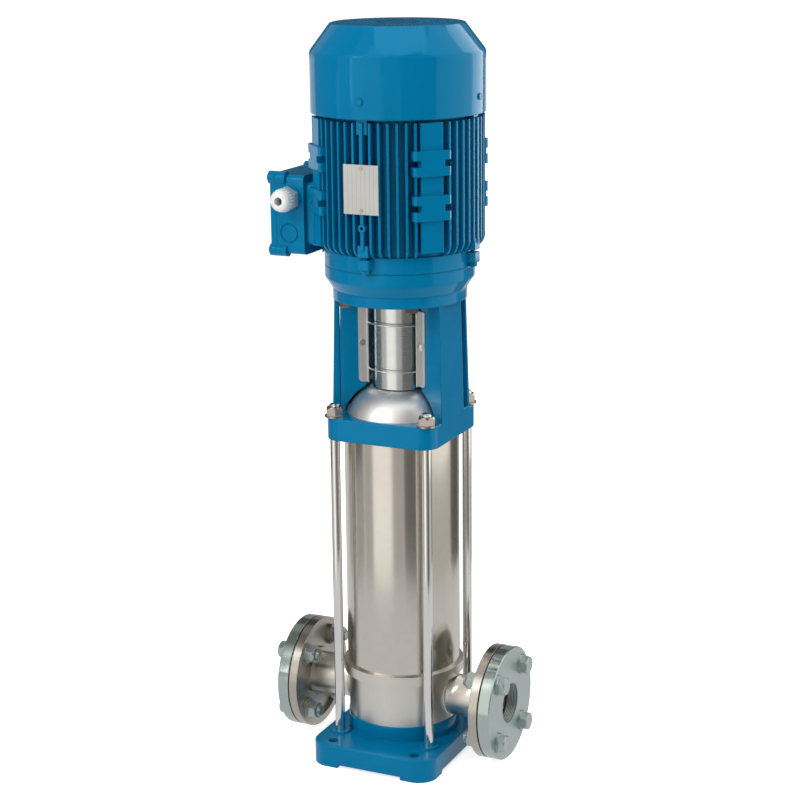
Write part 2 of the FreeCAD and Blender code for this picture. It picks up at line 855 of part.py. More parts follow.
def make_coupling():
    """Split sleeve coupling: two halves clamp both shafts with four sunk screws."""
    gap = coupling_split / 2
    whole = cylinder(coupling_r, coupling_low, coupling_top)
    middle = coupling_middle
    whole = whole.cut(cylinder(pump_shaft_r, coupling_low, middle))
    whole = whole.cut(cylinder(motor_shaft_r, middle, coupling_top))
    holes = []
    screws = []
    for x in (-1, 1):
        for z in (-1, 1):
            height = middle + z * coupling_screw_z
            place = V(x * coupling_screw_x, 0, height)
            hole = Part.makeCylinder(coupling_screw_r + fit, 2 * coupling_r, place - V(0, coupling_r, 0), V(0, 1, 0))
            sink = Part.makeCylinder(coupling_screw_r * 1.7, coupling_r, place + V(0, 14, 0), V(0, 1, 0))
            holes.append(hole.fuse(sink))
            head = Part.makeCylinder(coupling_screw_r * 1.6, 8, place + V(0, 14, 0), V(0, 1, 0))
            shank = Part.makeCylinder(coupling_screw_r, 30, place - V(0, 16, 0), V(0, 1, 0))
            socket = Part.makeCylinder(coupling_screw_r * 0.6, 4, place + V(0, 18.5, 0), V(0, 1, 0))
            screws.append(head.fuse(shank).cut(socket))
    front = whole.cut(box(-coupling_r, coupling_r, -gap, coupling_r, coupling_low, coupling_top))
    rear = whole.cut(box(-coupling_r, coupling_r, -coupling_r, gap, coupling_low, coupling_top))
    for hole in holes:
        front = front.cut(hole.common(box(-coupling_r, coupling_r, -18, 0, coupling_low, coupling_top)))
        rear = rear.cut(hole)
    save("coupling_half_front", front)
    save("coupling_half_rear", rear)
    save("coupling_screws", group(screws))


def guard_strip(side):
    """Folded sheet strip that lies on the front face of one leg, its round foot down."""
    strip = box(guard_inner, guard_outer, 0, guard_sheet, guard_low, guard_top)
    foot = [e for e in strip.Edges
            if abs(e.BoundBox.XMin - guard_outer) < 0.01 and e.BoundBox.YLength > guard_sheet / 2
            and e.BoundBox.ZMax < guard_low + 1]
    strip = strip.makeFillet(6, foot)
    fold = box(guard_inner, guard_inner + guard_sheet, -guard_fold, guard_sheet, guard_low, guard_top)
    strip = strip.fuse(fold)
    strip = strip.cut(Part.makeCylinder(guard_screw_r + fit, 10, V((guard_inner + guard_outer) / 2 + 1, -5,
                                                                   guard_screw_z), V(0, 1, 0)))
    if side < 0:
        strip = strip.mirror(ORIGIN, V(1, 0, 0))
    strip.translate(V(0, -guard_sheet - seat_gap, 0))
    strip.rotate(ORIGIN, UP, side * (window_angle - 90))
    return strip


def make_guard(turn):
    """Guard of one window: two strips joined by two wires that pass round the coupling."""
    body = guard_strip(1).fuse(guard_strip(-1))
    reach = guard_inner + guard_sheet / 2
    half = window_angle - 2.5
    for height in guard_wires:
        wire = Part.makeTorus(reach, guard_wire_r, V(0, 0, height), UP)
        front = sector(reach + 10, half, height - 5, height + 5)
        body = body.fuse(wire.common(front))
    return spun(body, turn)


def make_guard_screws():
    """Screws through the four strips into the legs."""
    middle = (guard_inner + guard_outer) / 2 + 1
    outside = guard_sheet + seat_gap
    screws = []
    for side in (-1, 1):
        head = Part.makeCylinder(guard_screw_head_r, guard_screw_head,
                                 V(side * middle, -outside, guard_screw_z), V(0, -1, 0))
        shank = Part.makeCylinder(guard_screw_r, outside + guard_screw_length,
                                  V(side * middle, -outside, guard_screw_z), V(0, 1, 0))
        screw = head.fuse(shank).removeSplitter()
        screw.rotate(ORIGIN, UP, side * (window_angle - 90))
        screws.append(screw)
        screws.append(spun(screw, 180))
    return screws


def make_motor_bolts():
    screws = []
    for angle in motor_bolt_angles():
        screw = bolt(motor_bolt_r, motor_bolt_af, motor_bolt_head,
                     lantern_flange_top - lantern_flange_low + motor_bolt_reach)
        screw.rotate(ORIGIN, V(1, 0, 0), 180)
        screw.translate(V(0, -motor_bolt_circle / 2, lantern_flange_low))
        screws.append(spun(screw, angle))
    return group(screws)


def tie_lug(low, high, radius):
    """Lug for one clamping bolt between the motor frame and an end shield."""
    return box(-tie_lug_width / 2, tie_lug_width / 2, -radius, -frame_core_r + 4, low, high)


def make_drive_shield():
    """Lower end shield: a flange on the lantern, a cone, a bearing housing and four lugs."""
    inner = shield_r - shield_wall
    bore = bearing_r + fit
    body = turned_points([
        (lantern_flange_r, lantern_flange_top), (shield_r - 1, shield_cone_top), (shield_r, shield_cone_top + 2),
        (shield_r, shield_seam - 1), (shield_r - 1.2, shield_seam), (shield_r, shield_seam + 1),
        (shield_r, shield_top), (frame_core_r - frame_wall - fit, shield_top),
        (frame_core_r - frame_wall - fit, shield_top + 6), (inner - 6, shield_top + 6),
        (inner - 6, shield_cone_top + 4), (bearing_hub_r, shield_cone_top + 4),
        (bearing_hub_r, lower_bearing_top + 4), (bore, lower_bearing_top + 4), (bore, lower_bearing_low),
        (shaft_passage_r, lower_bearing_low), (shaft_passage_r, lantern_flange_top)])
    for angle in (0, 90, 180, 270):
        body = body.fuse(spun(tie_lug(shield_top - tie_lug_height, shield_top - tie_lug_gap, tie_lug_r), angle))
    for angle in (0, 90, 180, 270):
        body = body.cut(spun(cylinder(shield_bolt_r + 0.3, shield_top - tie_lug_height - 1, shield_top + 1,
                                      0, -tie_bolt_circle_r), angle))
    for angle in motor_bolt_angles():
        body = body.cut(spun(cylinder(motor_bolt_r + fit, lantern_flange_top - 1,
                                      lantern_flange_top + motor_bolt_reach + 0.5,
                                      0, -motor_bolt_circle / 2), angle))
    return body.removeSplitter()


def fin_angles():
    """Angles of the fins, leaving out those in the way of the pads, lugs and terminal neck."""
    angles = []
    count = int(round(360 / fin_pitch))
    half_pad = math.degrees(math.asin(pad_width / 2 / fin_tip_r))
    half_neck = math.degrees(math.asin(neck_half_y / fin_tip_r))
    for i in range(count):
        angle = i * fin_pitch
        from_pad = min(abs(angle - pad) for pad in pad_angles())
        from_neck = abs(angle - 270)
        if from_pad > half_pad + fin_pitch * 0.35 and from_neck > half_neck + fin_pitch * 0.3:
            angles.append(angle)
    return angles


def pad_angles():
    return (pad_angle, 180 - pad_angle, 180 + pad_angle, 360 - pad_angle)


def fin():
    """One cooling fin whose two ends curve back to the frame."""
    core = frame_core_r - 2
    top = frame_top
    outline = [
        line((core, shield_top), (frame_core_r + 4, shield_top)),
        arc((frame_core_r + 4, shield_top), (fin_tip_r - 2.2, shield_top + 8), (fin_tip_r, shield_top + 20)),
        line((fin_tip_r, shield_top + 20), (fin_tip_r, top)),
        line((fin_tip_r, top), (core, top)),
        line((core, top), (core, shield_top))]
    face = Part.Face(Part.Wire(Part.__sortEdges__(outline)))
    solid = face.extrude(V(0, fin_thickness, 0))
    solid.translate(V(0, -fin_thickness / 2, 0))
    solid.rotate(ORIGIN, UP, -90)
    return solid


def make_motor_frame():
    """Finned frame: a tube, radial fins, four foot pads with notched lugs, clamp lugs, a terminal neck."""
    inner = frame_core_r - frame_wall
    low = shield_top + seat_gap
    one_fin = fin()
    additions = [spun(one_fin, angle) for angle in fin_angles()]
    pad = box(-pad_width / 2, pad_width / 2, -pad_r, -frame_core_r + 4, shield_top + 8, frame_top)
    for angle in pad_angles():
        additions.append(spun(pad, angle))
        for height in pad_lug_z:
            additions.append(spun(pad_lug(height), angle))
    rib = box(-rib_width / 2, rib_width / 2, -fin_tip_r, -frame_core_r + 4, shield_top + 12, frame_top)
    for angle in (0, 90, 180, 270):
        if angle != 270:
            additions.append(spun(rib, angle))
        additions.append(spun(tie_lug(shield_top + tie_lug_gap, shield_top + tie_lug_height + tie_lug_gap,
                                      tie_lug_r), angle))
        additions.append(spun(tie_lug(frame_top - tie_lug_height, frame_top, tie_lug_r - 2), angle))
    neck = box(-box_back_x, -neck_root_x, -neck_half_y, neck_half_y, neck_low, neck_high)
    long_edges = [e for e in neck.Edges if abs(e.tangentAt(0).x) > 0.99]
    additions.append(neck.makeFillet(box_corner, long_edges))
    earth = along_front(cylinder(5.5, frame_core_r - 2, fin_tip_r + 1))
    earth.translate(V(0, 0, earth_boss_z))
    additions.append(earth)
    body = ring(frame_core_r, inner, low, frame_top).multiFuse(additions)
    holes = [cylinder(inner, shield_top - 1, frame_top + 1)]
    holes.append(box(-box_back_x - 1, -neck_root_x, -neck_half_y + neck_wall, neck_half_y - neck_wall,
                     neck_low + neck_wall, neck_high - neck_wall))
    screw_hole = along_front(cylinder(2.1, fin_tip_r - 8, fin_tip_r + 2))
    screw_hole.translate(V(0, 0, earth_boss_z))
    holes.append(screw_hole)
    for angle in pad_angles():
        for height in pad_lug_z:
            for side in (-1, 1):
                near = side * (pad_lug_width / 2 - pad_lug_notch)
                far = side * (pad_lug_width / 2 + 1)
                notch = box(min(near, far), max(near, far), -pad_r - 10, -frame_core_r - 2,
                            height - pad_lug_slot / 2, height + pad_lug_slot / 2)
                holes.append(spun(notch, angle))
    for angle in (0, 90, 180, 270):
        for hole_low, hole_high in ((shield_top - 1, shield_top + tie_lug_height),
                                    (frame_top - tie_lug_height - 2, frame_top + 1)):
            holes.append(spun(cylinder(shield_bolt_r + fit, hole_low, hole_high, 0, -tie_bolt_circle_r), angle))
    for hole in holes:
        body = body.cut(hole)
    return body.removeSplitter()


def pad_lug(height):
    """Cast block across a foot pad, its outer corners cut off."""
    block = box(-pad_lug_width / 2, pad_lug_width / 2, -pad_r - pad_lug_rise, -frame_core_r - 2,
                height - pad_lug_height / 2, height + pad_lug_height / 2)
    upright = [e for e in block.Edges if abs(e.tangentAt(0).z) > 0.99 and e.BoundBox.YMin < -pad_r]
    return block.makeChamfer(3.0, upright)


def make_fan_shield():
    """Upper end shield, a spigot in the frame with the upper bearing's housing."""
    inner = frame_core_r - frame_wall
    bore = bearing_r + fit
    body = turned_points([
        (fan_shield_r, frame_top + seat_gap), (fan_shield_r, fan_shield_top), (shaft_passage_r, fan_shield_top),
        (shaft_passage_r, upper_bearing_top), (bore, upper_bearing_top), (bore, upper_bearing_low - 2),
        (bearing_hub_r, upper_bearing_low - 2), (bearing_hub_r, frame_top + 2), (inner - 8, frame_top + 2),
        (inner - 8, frame_top - 6), (inner - fit, frame_top - 6), (inner - fit, frame_top + seat_gap)])
    for angle in (0, 90, 180, 270):
        lug = box(-tie_lug_width / 2, tie_lug_width / 2, -tie_lug_r + 2, -fan_shield_r + 4,
                  frame_top + seat_gap, fan_shield_top)
        body = body.fuse(spun(lug, angle))
    for angle in (0, 90, 180, 270):
        body = body.cut(spun(cylinder(shield_bolt_r + 0.3, frame_top - 1, fan_shield_top + 1,
                                      0, -tie_bolt_circle_r), angle))
        side_hole = along_front(cylinder(cover_screw_r + fit, cover_r - cover_wall - 8, cover_r + 2))
        side_hole.translate(V(0, 0, cover_screw_z))
        outside = -cover_r + cover_wall + cover_bracket_gap
        bracket = box(-cover_bracket_width / 2, cover_bracket_width / 2, outside,
                      outside + cover_bracket_sheet, frame_top + 4, cover_screw_z + 7)
        foot = box(-cover_bracket_width / 2, cover_bracket_width / 2, outside,
                   -tie_lug_r + 3, frame_top + 4, fan_shield_top)
        body = body.fuse(spun(bracket.fuse(foot).cut(side_hole), angle))
    return body.removeSplitter()


def make_shield_bolts():
    lower = bolt(shield_bolt_r, shield_bolt_af, shield_bolt_head, 2 * tie_lug_height - 2)
    lower.rotate(ORIGIN, V(1, 0, 0), 180)
    lower.translate(V(0, -tie_bolt_circle_r, shield_top - tie_lug_height))
    upper = bolt(shield_bolt_r, shield_bolt_af, shield_bolt_head, fan_shield_top - frame_top + tie_lug_height - 1)
    upper.translate(V(0, -tie_bolt_circle_r, fan_shield_top))
    bolts = []
    for angle in (0, 90, 180, 270):
        bolts.append(spun(lower, angle))
        bolts.append(spun(upper, angle))
    return group(bolts)


def make_stator():
    outer = frame_core_r - frame_wall - seat_gap
    core = ring(outer, stator_bore_r, stator_low, core_top)
    slot_low = stator_low - 1
    slots = []
    for i in range(stator_slots):
        slots.append(spun(box(-2.5, 2.5, -stator_bore_r - 19, -stator_bore_r + 1, slot_low, core_top + 1),
                          360 * i / stator_slots))
    for slot in slots:
        core = core.cut(slot)
    lower = turned_points([(coil_inner_r, stator_low), (coil_outer_r, stator_low),
                           (coil_outer_r - 6, stator_low - coil_overhang),
                           (coil_inner_r + 4, stator_low - coil_overhang)])
    upper = turned_points([(coil_inner_r, core_top), (coil_outer_r, core_top),
                           (coil_outer_r - 6, core_top + coil_overhang),
                           (coil_inner_r + 4, core_top + coil_overhang)])
    bar = box(-2.4, 2.4, -stator_bore_r - 18.5, -coil_inner_r - 1, stator_low - 2, core_top + 2)
    bars = [spun(bar, 360 * i / stator_slots) for i in range(stator_slots)]
    winding = lower.multiFuse([upper] + bars)
    save("stator_core", core)
    save("stator_winding", winding)


def make_rotor_core():
    body = ring(stator_bore_r - air_gap, core_shaft_r, stator_low, core_top)
    body = body.fuse(ring(stator_bore_r - 3, stator_bore_r - 18, stator_low - rotor_ring_height,
                          core_top + rotor_ring_height))
    return body.removeSplitter()


def make_motor_shaft():
    shaft = turned_points([
        (0, motor_shaft_end), (motor_shaft_r, motor_shaft_end), (motor_shaft_r, lower_bearing_low - 8),
        (journal_r, lower_bearing_low - 8), (journal_r, lower_bearing_top), (core_shaft_r, lower_bearing_top),
        (core_shaft_r, upper_bearing_low), (journal_r, upper_bearing_low), (journal_r, upper_bearing_top + 3),
        (fan_bore_r, upper_bearing_top + 3), (fan_bore_r, shaft_tail_top), (0, shaft_tail_top)])
    return shaft


def bearing(low):
    """Outer ring, inner ring and the caged balls of one deep-groove ball bearing."""
    middle = low + bearing_width / 2
    groove = Part.makeTorus(bearing_race_r, groove_r, V(0, 0, middle), UP)
    outer = ring(bearing_r, bearing_race_r + race_land, low, low + bearing_width).cut(groove)
    inner = ring(bearing_race_r - race_land, journal_r, low, low + bearing_width).cut(groove)
    cage = ring(bearing_race_r + cage_wall / 2, bearing_race_r - cage_wall / 2,
                middle - cage_height / 2, middle + cage_height / 2)
    balls = []
    for i in range(ball_count):
        angle = math.radians(360 * i / ball_count)
        place = V(bearing_race_r * math.cos(angle), bearing_race_r * math.sin(angle), middle)
        balls.append(Part.makeSphere(ball_r, place))
        cage = cage.cut(Part.makeCylinder(ball_r + 0.15, bearing_r, V(0, 0, middle), place - V(0, 0, middle)))
    return outer, inner, group([cage] + balls)


def make_fan():
    """Radial fan: a hub, a disc and straight blades that work in both directions."""
    body = ring(fan_hub_r, fan_bore_r, fan_low, fan_low + fan_height - 4)
    body = body.fuse(ring(fan_r - 8, fan_bore_r, fan_low, fan_low + fan_disc))
    wing = box(-fan_blade_thickness / 2, fan_blade_thickness / 2, -fan_r, -fan_hub_r + 2,
               fan_low, fan_low + fan_height)
    for i in range(fan_blades):
        body = body.fuse(spun(wing, 360 * i / fan_blades))
    return body.removeSplitter()


def arc_slot(radius, width, low, high, start, sweep):
    """A slot of the grille that follows part of a circle."""
    whole = ring(radius + width / 2, radius - width / 2, low, high)
    wedge = sector(radius + width, sweep / 2, low, high)
    return spun(whole.common(wedge), start + sweep / 2)


def make_fan_cover():
    """Pressed cover: a skirt, a cone and a flat grille of slots over the fan."""
    wall = cover_wall
    inside_low = cover_low + 2.2
    body = turned([
        line((cover_r - wall, cover_low), (cover_r - 0.2, cover_low)),
        arc((cover_r - 0.2, cover_low), (cover_r + 0.5, cover_low + 0.9), (cover_r, cover_low + 2.2)),
        line((cover_r, cover_low + 2.2), (cover_r, cover_shoulder - 4)),
        arc((cover_r, cover_shoulder - 4), (cover_r - 0.5, cover_shoulder - 1.2), (cover_r - 1.8, cover_shoulder + 2)),
        line((cover_r - 1.8, cover_shoulder + 2), (cover_top_r + 1.5, cover_top - 2.5)),
        arc((cover_top_r + 1.5, cover_top - 2.5), (cover_top_r - 0.6, cover_top - 0.6), (cover_top_r - 3, cover_top)),
        line((cover_top_r - 3, cover_top), (0, cover_top)),
        line((0, cover_top), (0, cover_top - wall)),
        line((0, cover_top - wall), (cover_top_r - 3.5, cover_top - wall)),
        line((cover_top_r - 3.5, cover_top - wall), (cover_r - 2 - wall * 1.2, cover_shoulder)),
        line((cover_r - 2 - wall * 1.2, cover_shoulder), (cover_r - wall, cover_shoulder - 5)),
        line((cover_r - wall, cover_shoulder - 5), (cover_r - wall, cover_low))])
    for radius in grille_rings:
        bridge = math.degrees(grille_bridge / radius)
        sweep = 360.0 / grille_slots - bridge
        for i in range(grille_slots):
            body = body.cut(arc_slot(radius, grille_slot, cover_top - wall - 1, cover_top + 1,
                                     360.0 * i / grille_slots, sweep))
    for angle in (0, 90, 180, 270):
        hole = along_front(cylinder(cover_screw_r + fit, cover_r - 6, cover_r + 2))
        hole.translate(V(0, 0, cover_screw_z))
        body = body.cut(spun(hole, angle))
    return body


def make_cover_screws():
    screws = []
    for angle in (0, 90, 180, 270):
        screw = along_front(cylinder(cover_screw_head_r, cover_r + 0.1, cover_r + cover_screw_head).fuse(
            cylinder(cover_screw_r, cover_r - cover_wall - 6, cover_r + 0.1)))
        screw.translate(V(0, 0, cover_screw_z))
        screws.append(spun(screw.removeSplitter(), angle))
    return group(screws)


def make_terminal_box():
    lid_x = box_face_x - lid_depth
    body = box(-lid_x, -box_back_x - seat_gap, -box_half_y, box_half_y, box_low, box_high)
    lengthwise = [e for e in body.Edges if abs(e.tangentAt(0).x) > 0.99]
    body = body.makeFillet(box_corner, lengthwise)
    room = box(-lid_x - 1, -box_back_x - box_wall, -box_half_y + box_wall, box_half_y - box_wall,
               box_low + box_wall, box_high - box_wall)
    body = body.cut(room)
    for y, z in lid_corners():
        body = body.fuse(lug_at(y, z, lid_x - 16, lid_x))
    window = box(-box_back_x - box_wall - 1, -box_back_x + 1, -neck_half_y + neck_wall, neck_half_y - neck_wall,
                 neck_low + neck_wall, neck_high - neck_wall)
    body = body.cut(window)
    ring_boss = along_front(cylinder(gland_hex_af * 0.62, box_half_y - 1, box_half_y + 1.5))
    ring_boss.translate(V(-gland_x, 0, gland_z))
    body = body.fuse(ring_boss)
    blank_groove = along_front(ring(knockout_r, knockout_r - knockout_groove, box_half_y - 1, box_half_y + 1))
    blank_groove.translate(V(-gland_x, 0, knockout_z))
    body = body.cut(blank_groove)
    gland_hole = along_front(cylinder(gland_thread_r + fit, box_half_y - box_wall - 2, box_half_y + 3))
    gland_hole.translate(V(-gland_x, 0, gland_z))
    body = body.cut(gland_hole)
    for y, z in lid_corners():
        body = body.cut(Part.makeCylinder(lid_screw_r + fit, 14, V(-lid_x, y, z), V(1, 0, 0)))
    return body.removeSplitter()


def lid_corners():
    inset = lid_lug * 0.55
    return [(y * (box_half_y - inset), z) for y in (-1, 1) for z in (box_low + inset, box_high - inset)]


def lug_at(y, z, near_x, far_x):
    """Round screw lug at a corner of the terminal box, between two distances from the shaft."""
    return Part.makeCylinder(lid_lug, far_x - near_x, V(-far_x, y, z), V(1, 0, 0))


def make_lid():
    """Lid with a slightly domed face and a lug at each corner."""
    lid_x = box_face_x - lid_depth
    plate = box(-box_face_x + 3, -lid_x - 0.1, -box_half_y, box_half_y, box_low, box_high)
    lengthwise = [e for e in plate.Edges if abs(e.tangentAt(0).x) > 0.99]
    plate = plate.makeFillet(box_corner, lengthwise)
    crown = box(-box_face_x, -box_face_x + 4, -box_half_y + 9, box_half_y - 9, box_low + 9, box_high - 9)
    outer = [e for e in crown.Edges if e.BoundBox.XMax < -box_face_x + 0.1]
    crown = crown.makeChamfer(2.8, outer)
    lid = plate.fuse(crown)
    for y, z in lid_corners():
        lid = lid.fuse(lug_at(y, z, lid_x + 0.1, box_face_x - 1))
    for y, z in lid_corners():
        lid = lid.cut(Part.makeCylinder(lid_screw_r + 0.3, 30, V(-box_face_x - 5, y, z), V(1, 0, 0)))
    return lid.removeSplitter()


def make_lid_screws():
    screws = []
    face = box_face_x - 1
    for y, z in lid_corners():
        head = Part.makeCylinder(lid_screw_head_r, lid_screw_head, V(-face - lid_screw_head, y, z), V(1, 0, 0))
        slot = box(-face - lid_screw_head - 1, -face - 1.6, y - 0.7, y + 0.7, z - 6, z + 6)
        shank = Part.makeCylinder(lid_screw_r, lid_depth + 9, V(-face, y, z), V(1, 0, 0))
        screws.append(head.cut(slot).fuse(shank))
    return group(screws)


def make_terminal_block():
    """Terminal board on the box floor with six studs."""
    back = box_back_x + box_wall
    middle_z = (box_low + box_high) / 2 - 2
    board = box(-back - block_height, -back - seat_gap, -block_width / 2 - 12, block_width / 2 + 12,
                middle_z - block_length / 2, middle_z + block_length / 2)
    for y in (-1, 1):
        for z in (-1, 0, 1):
            stud = Part.makeCylinder(stud_r, stud_length, V(-back - block_height - stud_length + 1,
                                                            y * 14, middle_z + z * 18), V(1, 0, 0))
            board = board.fuse(stud)
    return board


def make_gland():
    """Cable gland: a threaded body with a hexagon, and a domed clamping nut."""
    face = box_half_y + 1.5
    body = ring(gland_thread_r, gland_bore_r + 1, face - gland_thread, face)
    body = body.fuse(hexagon(gland_hex_af, face, face + gland_hex, 0, 0, 30).cut(
        cylinder(gland_bore_r + 1, face - 1, face + gland_hex + 1)))
    body = body.fuse(ring(gland_neck_r, gland_bore_r + 1, face + gland_hex, face + gland_hex + gland_neck))
    low = face + gland_hex + 0.4
    top = low + gland_nut_length
    cap = turned([
        line((gland_neck_r + fit, low), (gland_nut_r, low)),
        line((gland_nut_r, low), (gland_nut_r, top - 8)),
        arc((gland_nut_r, top - 8), (gland_nut_r - 2.2, top - 2.6), (gland_nut_r - 6.5, top)),
        line((gland_nut_r - 6.5, top), (gland_bore_r, top)),
        line((gland_bore_r, top), (gland_bore_r, low + gland_neck)),
        line((gland_bore_r, low + gland_neck), (gland_neck_r + fit, low + gland_neck)),
        line((gland_neck_r + fit, low + gland_neck), (gland_neck_r + fit, low))])
    pieces = []
    for piece in (body, cap):
        laid = along_front(piece)
        laid.translate(V(-gland_x, 0, gland_z))
        pieces.append(laid)
    return pieces


def make_nameplate():
    """Blank sheet plate on the fin tips with two rivets."""
    low = fin_tip_r + 0.3
    plate = box(-plate_half_width, plate_half_width, -low - nameplate_sheet, -low, nameplate_low, nameplate_high)
    rivets = []
    for height in (nameplate_low + rivet_inset, nameplate_high - rivet_inset):
        hole = along_front(cylinder(rivet_r + fit, low - 1, low + 3))
        hole.translate(V(0, 0, height))
        plate = plate.cut(hole)
        rivet = along_front(cylinder(rivet_r, low - 0.25, low + nameplate_sheet).fuse(
            cylinder(rivet_r * 1.6, low + nameplate_sheet, low + nameplate_sheet + 0.8)))
        rivet.translate(V(0, 0, height))
        rivets.append(rivet)
    return plate, group(rivets)


def main():
    save("base_casting", make_base())
    save("pump_casing", make_casing())
    save("suction_chamber", make_suction_chamber())
    save("drain_plug", make_drain_plug())
    for name, side in (("suction", -1), ("delivery", 1)):
        save(name + "_flange", make_flange(side))
        save(name + "_gasket", make_gasket(side))
        save(name + "_counterflange", make_counterflange(side))
    make_flange_fasteners()
    save("outer_sleeve", make_sleeve())
    save("sleeve_seals", make_sleeve_seals())
    support, top = make_stack_support()
    save("stage_support_ring", support)
    save("stage_clamp_ring", top)
    make_stages()
    save("pump_shaft", make_pump_shaft())
    save("shaft_nut", make_shaft_nut())
    make_rods()
    save("head_cover", make_head_cover())
    save("lantern", make_lantern())
    seat, rotor = make_seal()
    save("seal_seat", seat)
    save("seal_rotor", rotor)
    make_coupling()
    save("coupling_guard_front", make_guard(0))
    save("coupling_guard_rear", make_guard(180))
    save("guard_screws", group(make_guard_screws()))
    save("motor_flange_bolts", make_motor_bolts())
    save("drive_end_shield", make_drive_shield())
    save("motor_frame", make_motor_frame())
    save("fan_end_shield", make_fan_shield())
    save("shield_bolts", make_shield_bolts())
    make_stator()
    save("rotor_core", make_rotor_core())
    save("motor_shaft", make_motor_shaft())
    for name, low in (("lower", lower_bearing_low), ("upper", upper_bearing_low)):
        outer, inner, cage = bearing(low)
        save(name + "_bearing_outer_ring", outer)
        save(name + "_bearing_inner_ring", inner)
        save(name + "_bearing_balls", cage)
    save("fan", make_fan())
    save("fan_cover", make_fan_cover())
    save("fan_cover_screws", make_cover_screws())
    save("terminal_box", make_terminal_box())
    save("terminal_box_lid", make_lid())
    save("lid_screws", make_lid_screws())
    save("terminal_block", make_terminal_block())
    body, cap = make_gland()
    save("gland_body", body)
    save("gland_nut", cap)
    plate, rivets = make_nameplate()
    save("nameplate", plate)
    save("nameplate_rivets", rivets)


main()
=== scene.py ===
"""Dresses the vertical multistage pump: finishes, small pieces, studio and camera."""
import math

import bpy
from mathutils import Matrix, Vector


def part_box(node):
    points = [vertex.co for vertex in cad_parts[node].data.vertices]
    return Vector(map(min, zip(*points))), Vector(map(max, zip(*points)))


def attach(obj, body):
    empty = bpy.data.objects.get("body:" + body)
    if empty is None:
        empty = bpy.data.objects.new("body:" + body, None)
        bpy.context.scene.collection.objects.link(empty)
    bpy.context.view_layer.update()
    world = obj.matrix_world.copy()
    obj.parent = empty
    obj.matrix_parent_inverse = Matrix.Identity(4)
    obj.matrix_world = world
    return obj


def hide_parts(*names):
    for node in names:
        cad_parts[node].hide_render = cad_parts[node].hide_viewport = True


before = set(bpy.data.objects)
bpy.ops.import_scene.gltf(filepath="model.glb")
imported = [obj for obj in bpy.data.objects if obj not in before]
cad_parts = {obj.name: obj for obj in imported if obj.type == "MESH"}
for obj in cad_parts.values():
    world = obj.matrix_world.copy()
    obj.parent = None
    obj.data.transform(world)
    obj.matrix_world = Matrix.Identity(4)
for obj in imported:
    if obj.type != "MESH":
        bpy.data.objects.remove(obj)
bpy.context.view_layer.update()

bl_info = {
    "name": "Vertical Multistage Pump",
    "version": (1, 0, 0),
    "blender": (4, 5, 0),
    "location": "3D View > Sidebar > Pump",
    "description": "Finishes, small pieces and studio for a vertical multistage pump",
    "category": "Object",
}

# Fan cover: inset and rise of each point from the lower edge, the shoulder and the intake's rim
COVER_SIDES = 128
COVER_HEM = ((0.0004, 0.0), (0.0, 0.0022))
COVER_SHOULDER = ((0.0, -0.004), (0.0004, -0.0014), (0.0018, 0.001))
COVER_RIM = ((-0.0016, -0.0026), (0.0, -0.0008), (0.0024, 0.0))
COVER_CREASE = math.radians(25)
MESH_REACH = 0.078
MESH_THICKNESS = 0.0008
MESH_WELD = 0.00005
CENTRE_DISC = 0.028
CENTRE_LAP = 0.0015

# Ports and flanges
PORT_HEIGHT = 0.09
PORT_THREAD_RADIUS = 0.029
FLANGE_RADIUS = 0.0825
RIM_STEP = 0.0012

# Screw ends
THREAD_SECTIONS = 48
SCREW_SECTIONS = 32
SCREW_CREST = 0.7
TIP_HEIGHT = 0.0012
TIP_ROUND = 0.45
ROD_RADIUS = 0.007
ROD_BARE = 0.003
FLANGE_BOLTS = 4
FLANGE_BOLT_RADIUS = 0.008
FLANGE_BOLT_BARE = 0.004
FLANGE_BOLT_CIRCLE = 0.125
FLANGE_BOLT_END = 0.1175

# Grip ribs of the cable gland's nut
RIB_RADIUS = 0.0011
RIB_ROUND = 0.0006
RIB_FRONT_INSET = 0.0008
RIB_BACK_INSET = 0.0092

# Finishes
EDGE_SAMPLES = 4
ENAMEL_EDGE = 0.002
CAST_EDGE = 0.003
METAL_EDGE = 0.0008
METAL_UNEVENNESS = 0.06
RULE_SPACING = 0.0032
GLOSS_TINT = (0.2, 0.75, 1.0, 1.0)

# Studio light
FLOOR_LIFT = 0.68
FLOOR_IN_METAL = 0.7
WORLD_FILL = 0.5
WORLD_IN_METAL = 0.3
CARD_LIGHT = (1.0, 0.96, 0.9, 1.0)
LAMP_TARGET = (0, 0, 0.55)

# name, degrees to the right of the camera, distance, width, bottom, top, how light it is
CARDS = (
    ("card_left_dark", -106, 0.85, 0.78, 0.0, 2.4, 0.16),
    ("card_left_middle", -68, 0.85, 0.26, 0.0, 2.4, 0.5),
    ("card_left_pale", -39, 0.85, 0.58, 0.0, 2.4, 1.15),
    ("card_middle_grey", -8, 0.85, 0.27, 0.0, 2.4, 0.5),
    ("card_middle_dark", 25, 0.85, 0.68, 0.0, 2.4, 0.17),
    ("card_right_pale", 78, 0.85, 0.95, 0.0, 2.4, 1.15),
    ("card_right_edge", 128, 0.85, 0.6, 0.0, 2.4, 0.12),
    ("card_left_low", -106, 0.8, 0.7, 0.0, 0.22, 0.45),
    ("card_right_low", 78, 0.8, 0.9, 0.0, 0.22, 0.55),
    ("card_right_high", 122, 0.8, 0.46, 0.6, 1.8, 2.6),
    ("card_rear_dark", 180, 1.6, 1.6, 0.9, 1.9, 0.05),
)

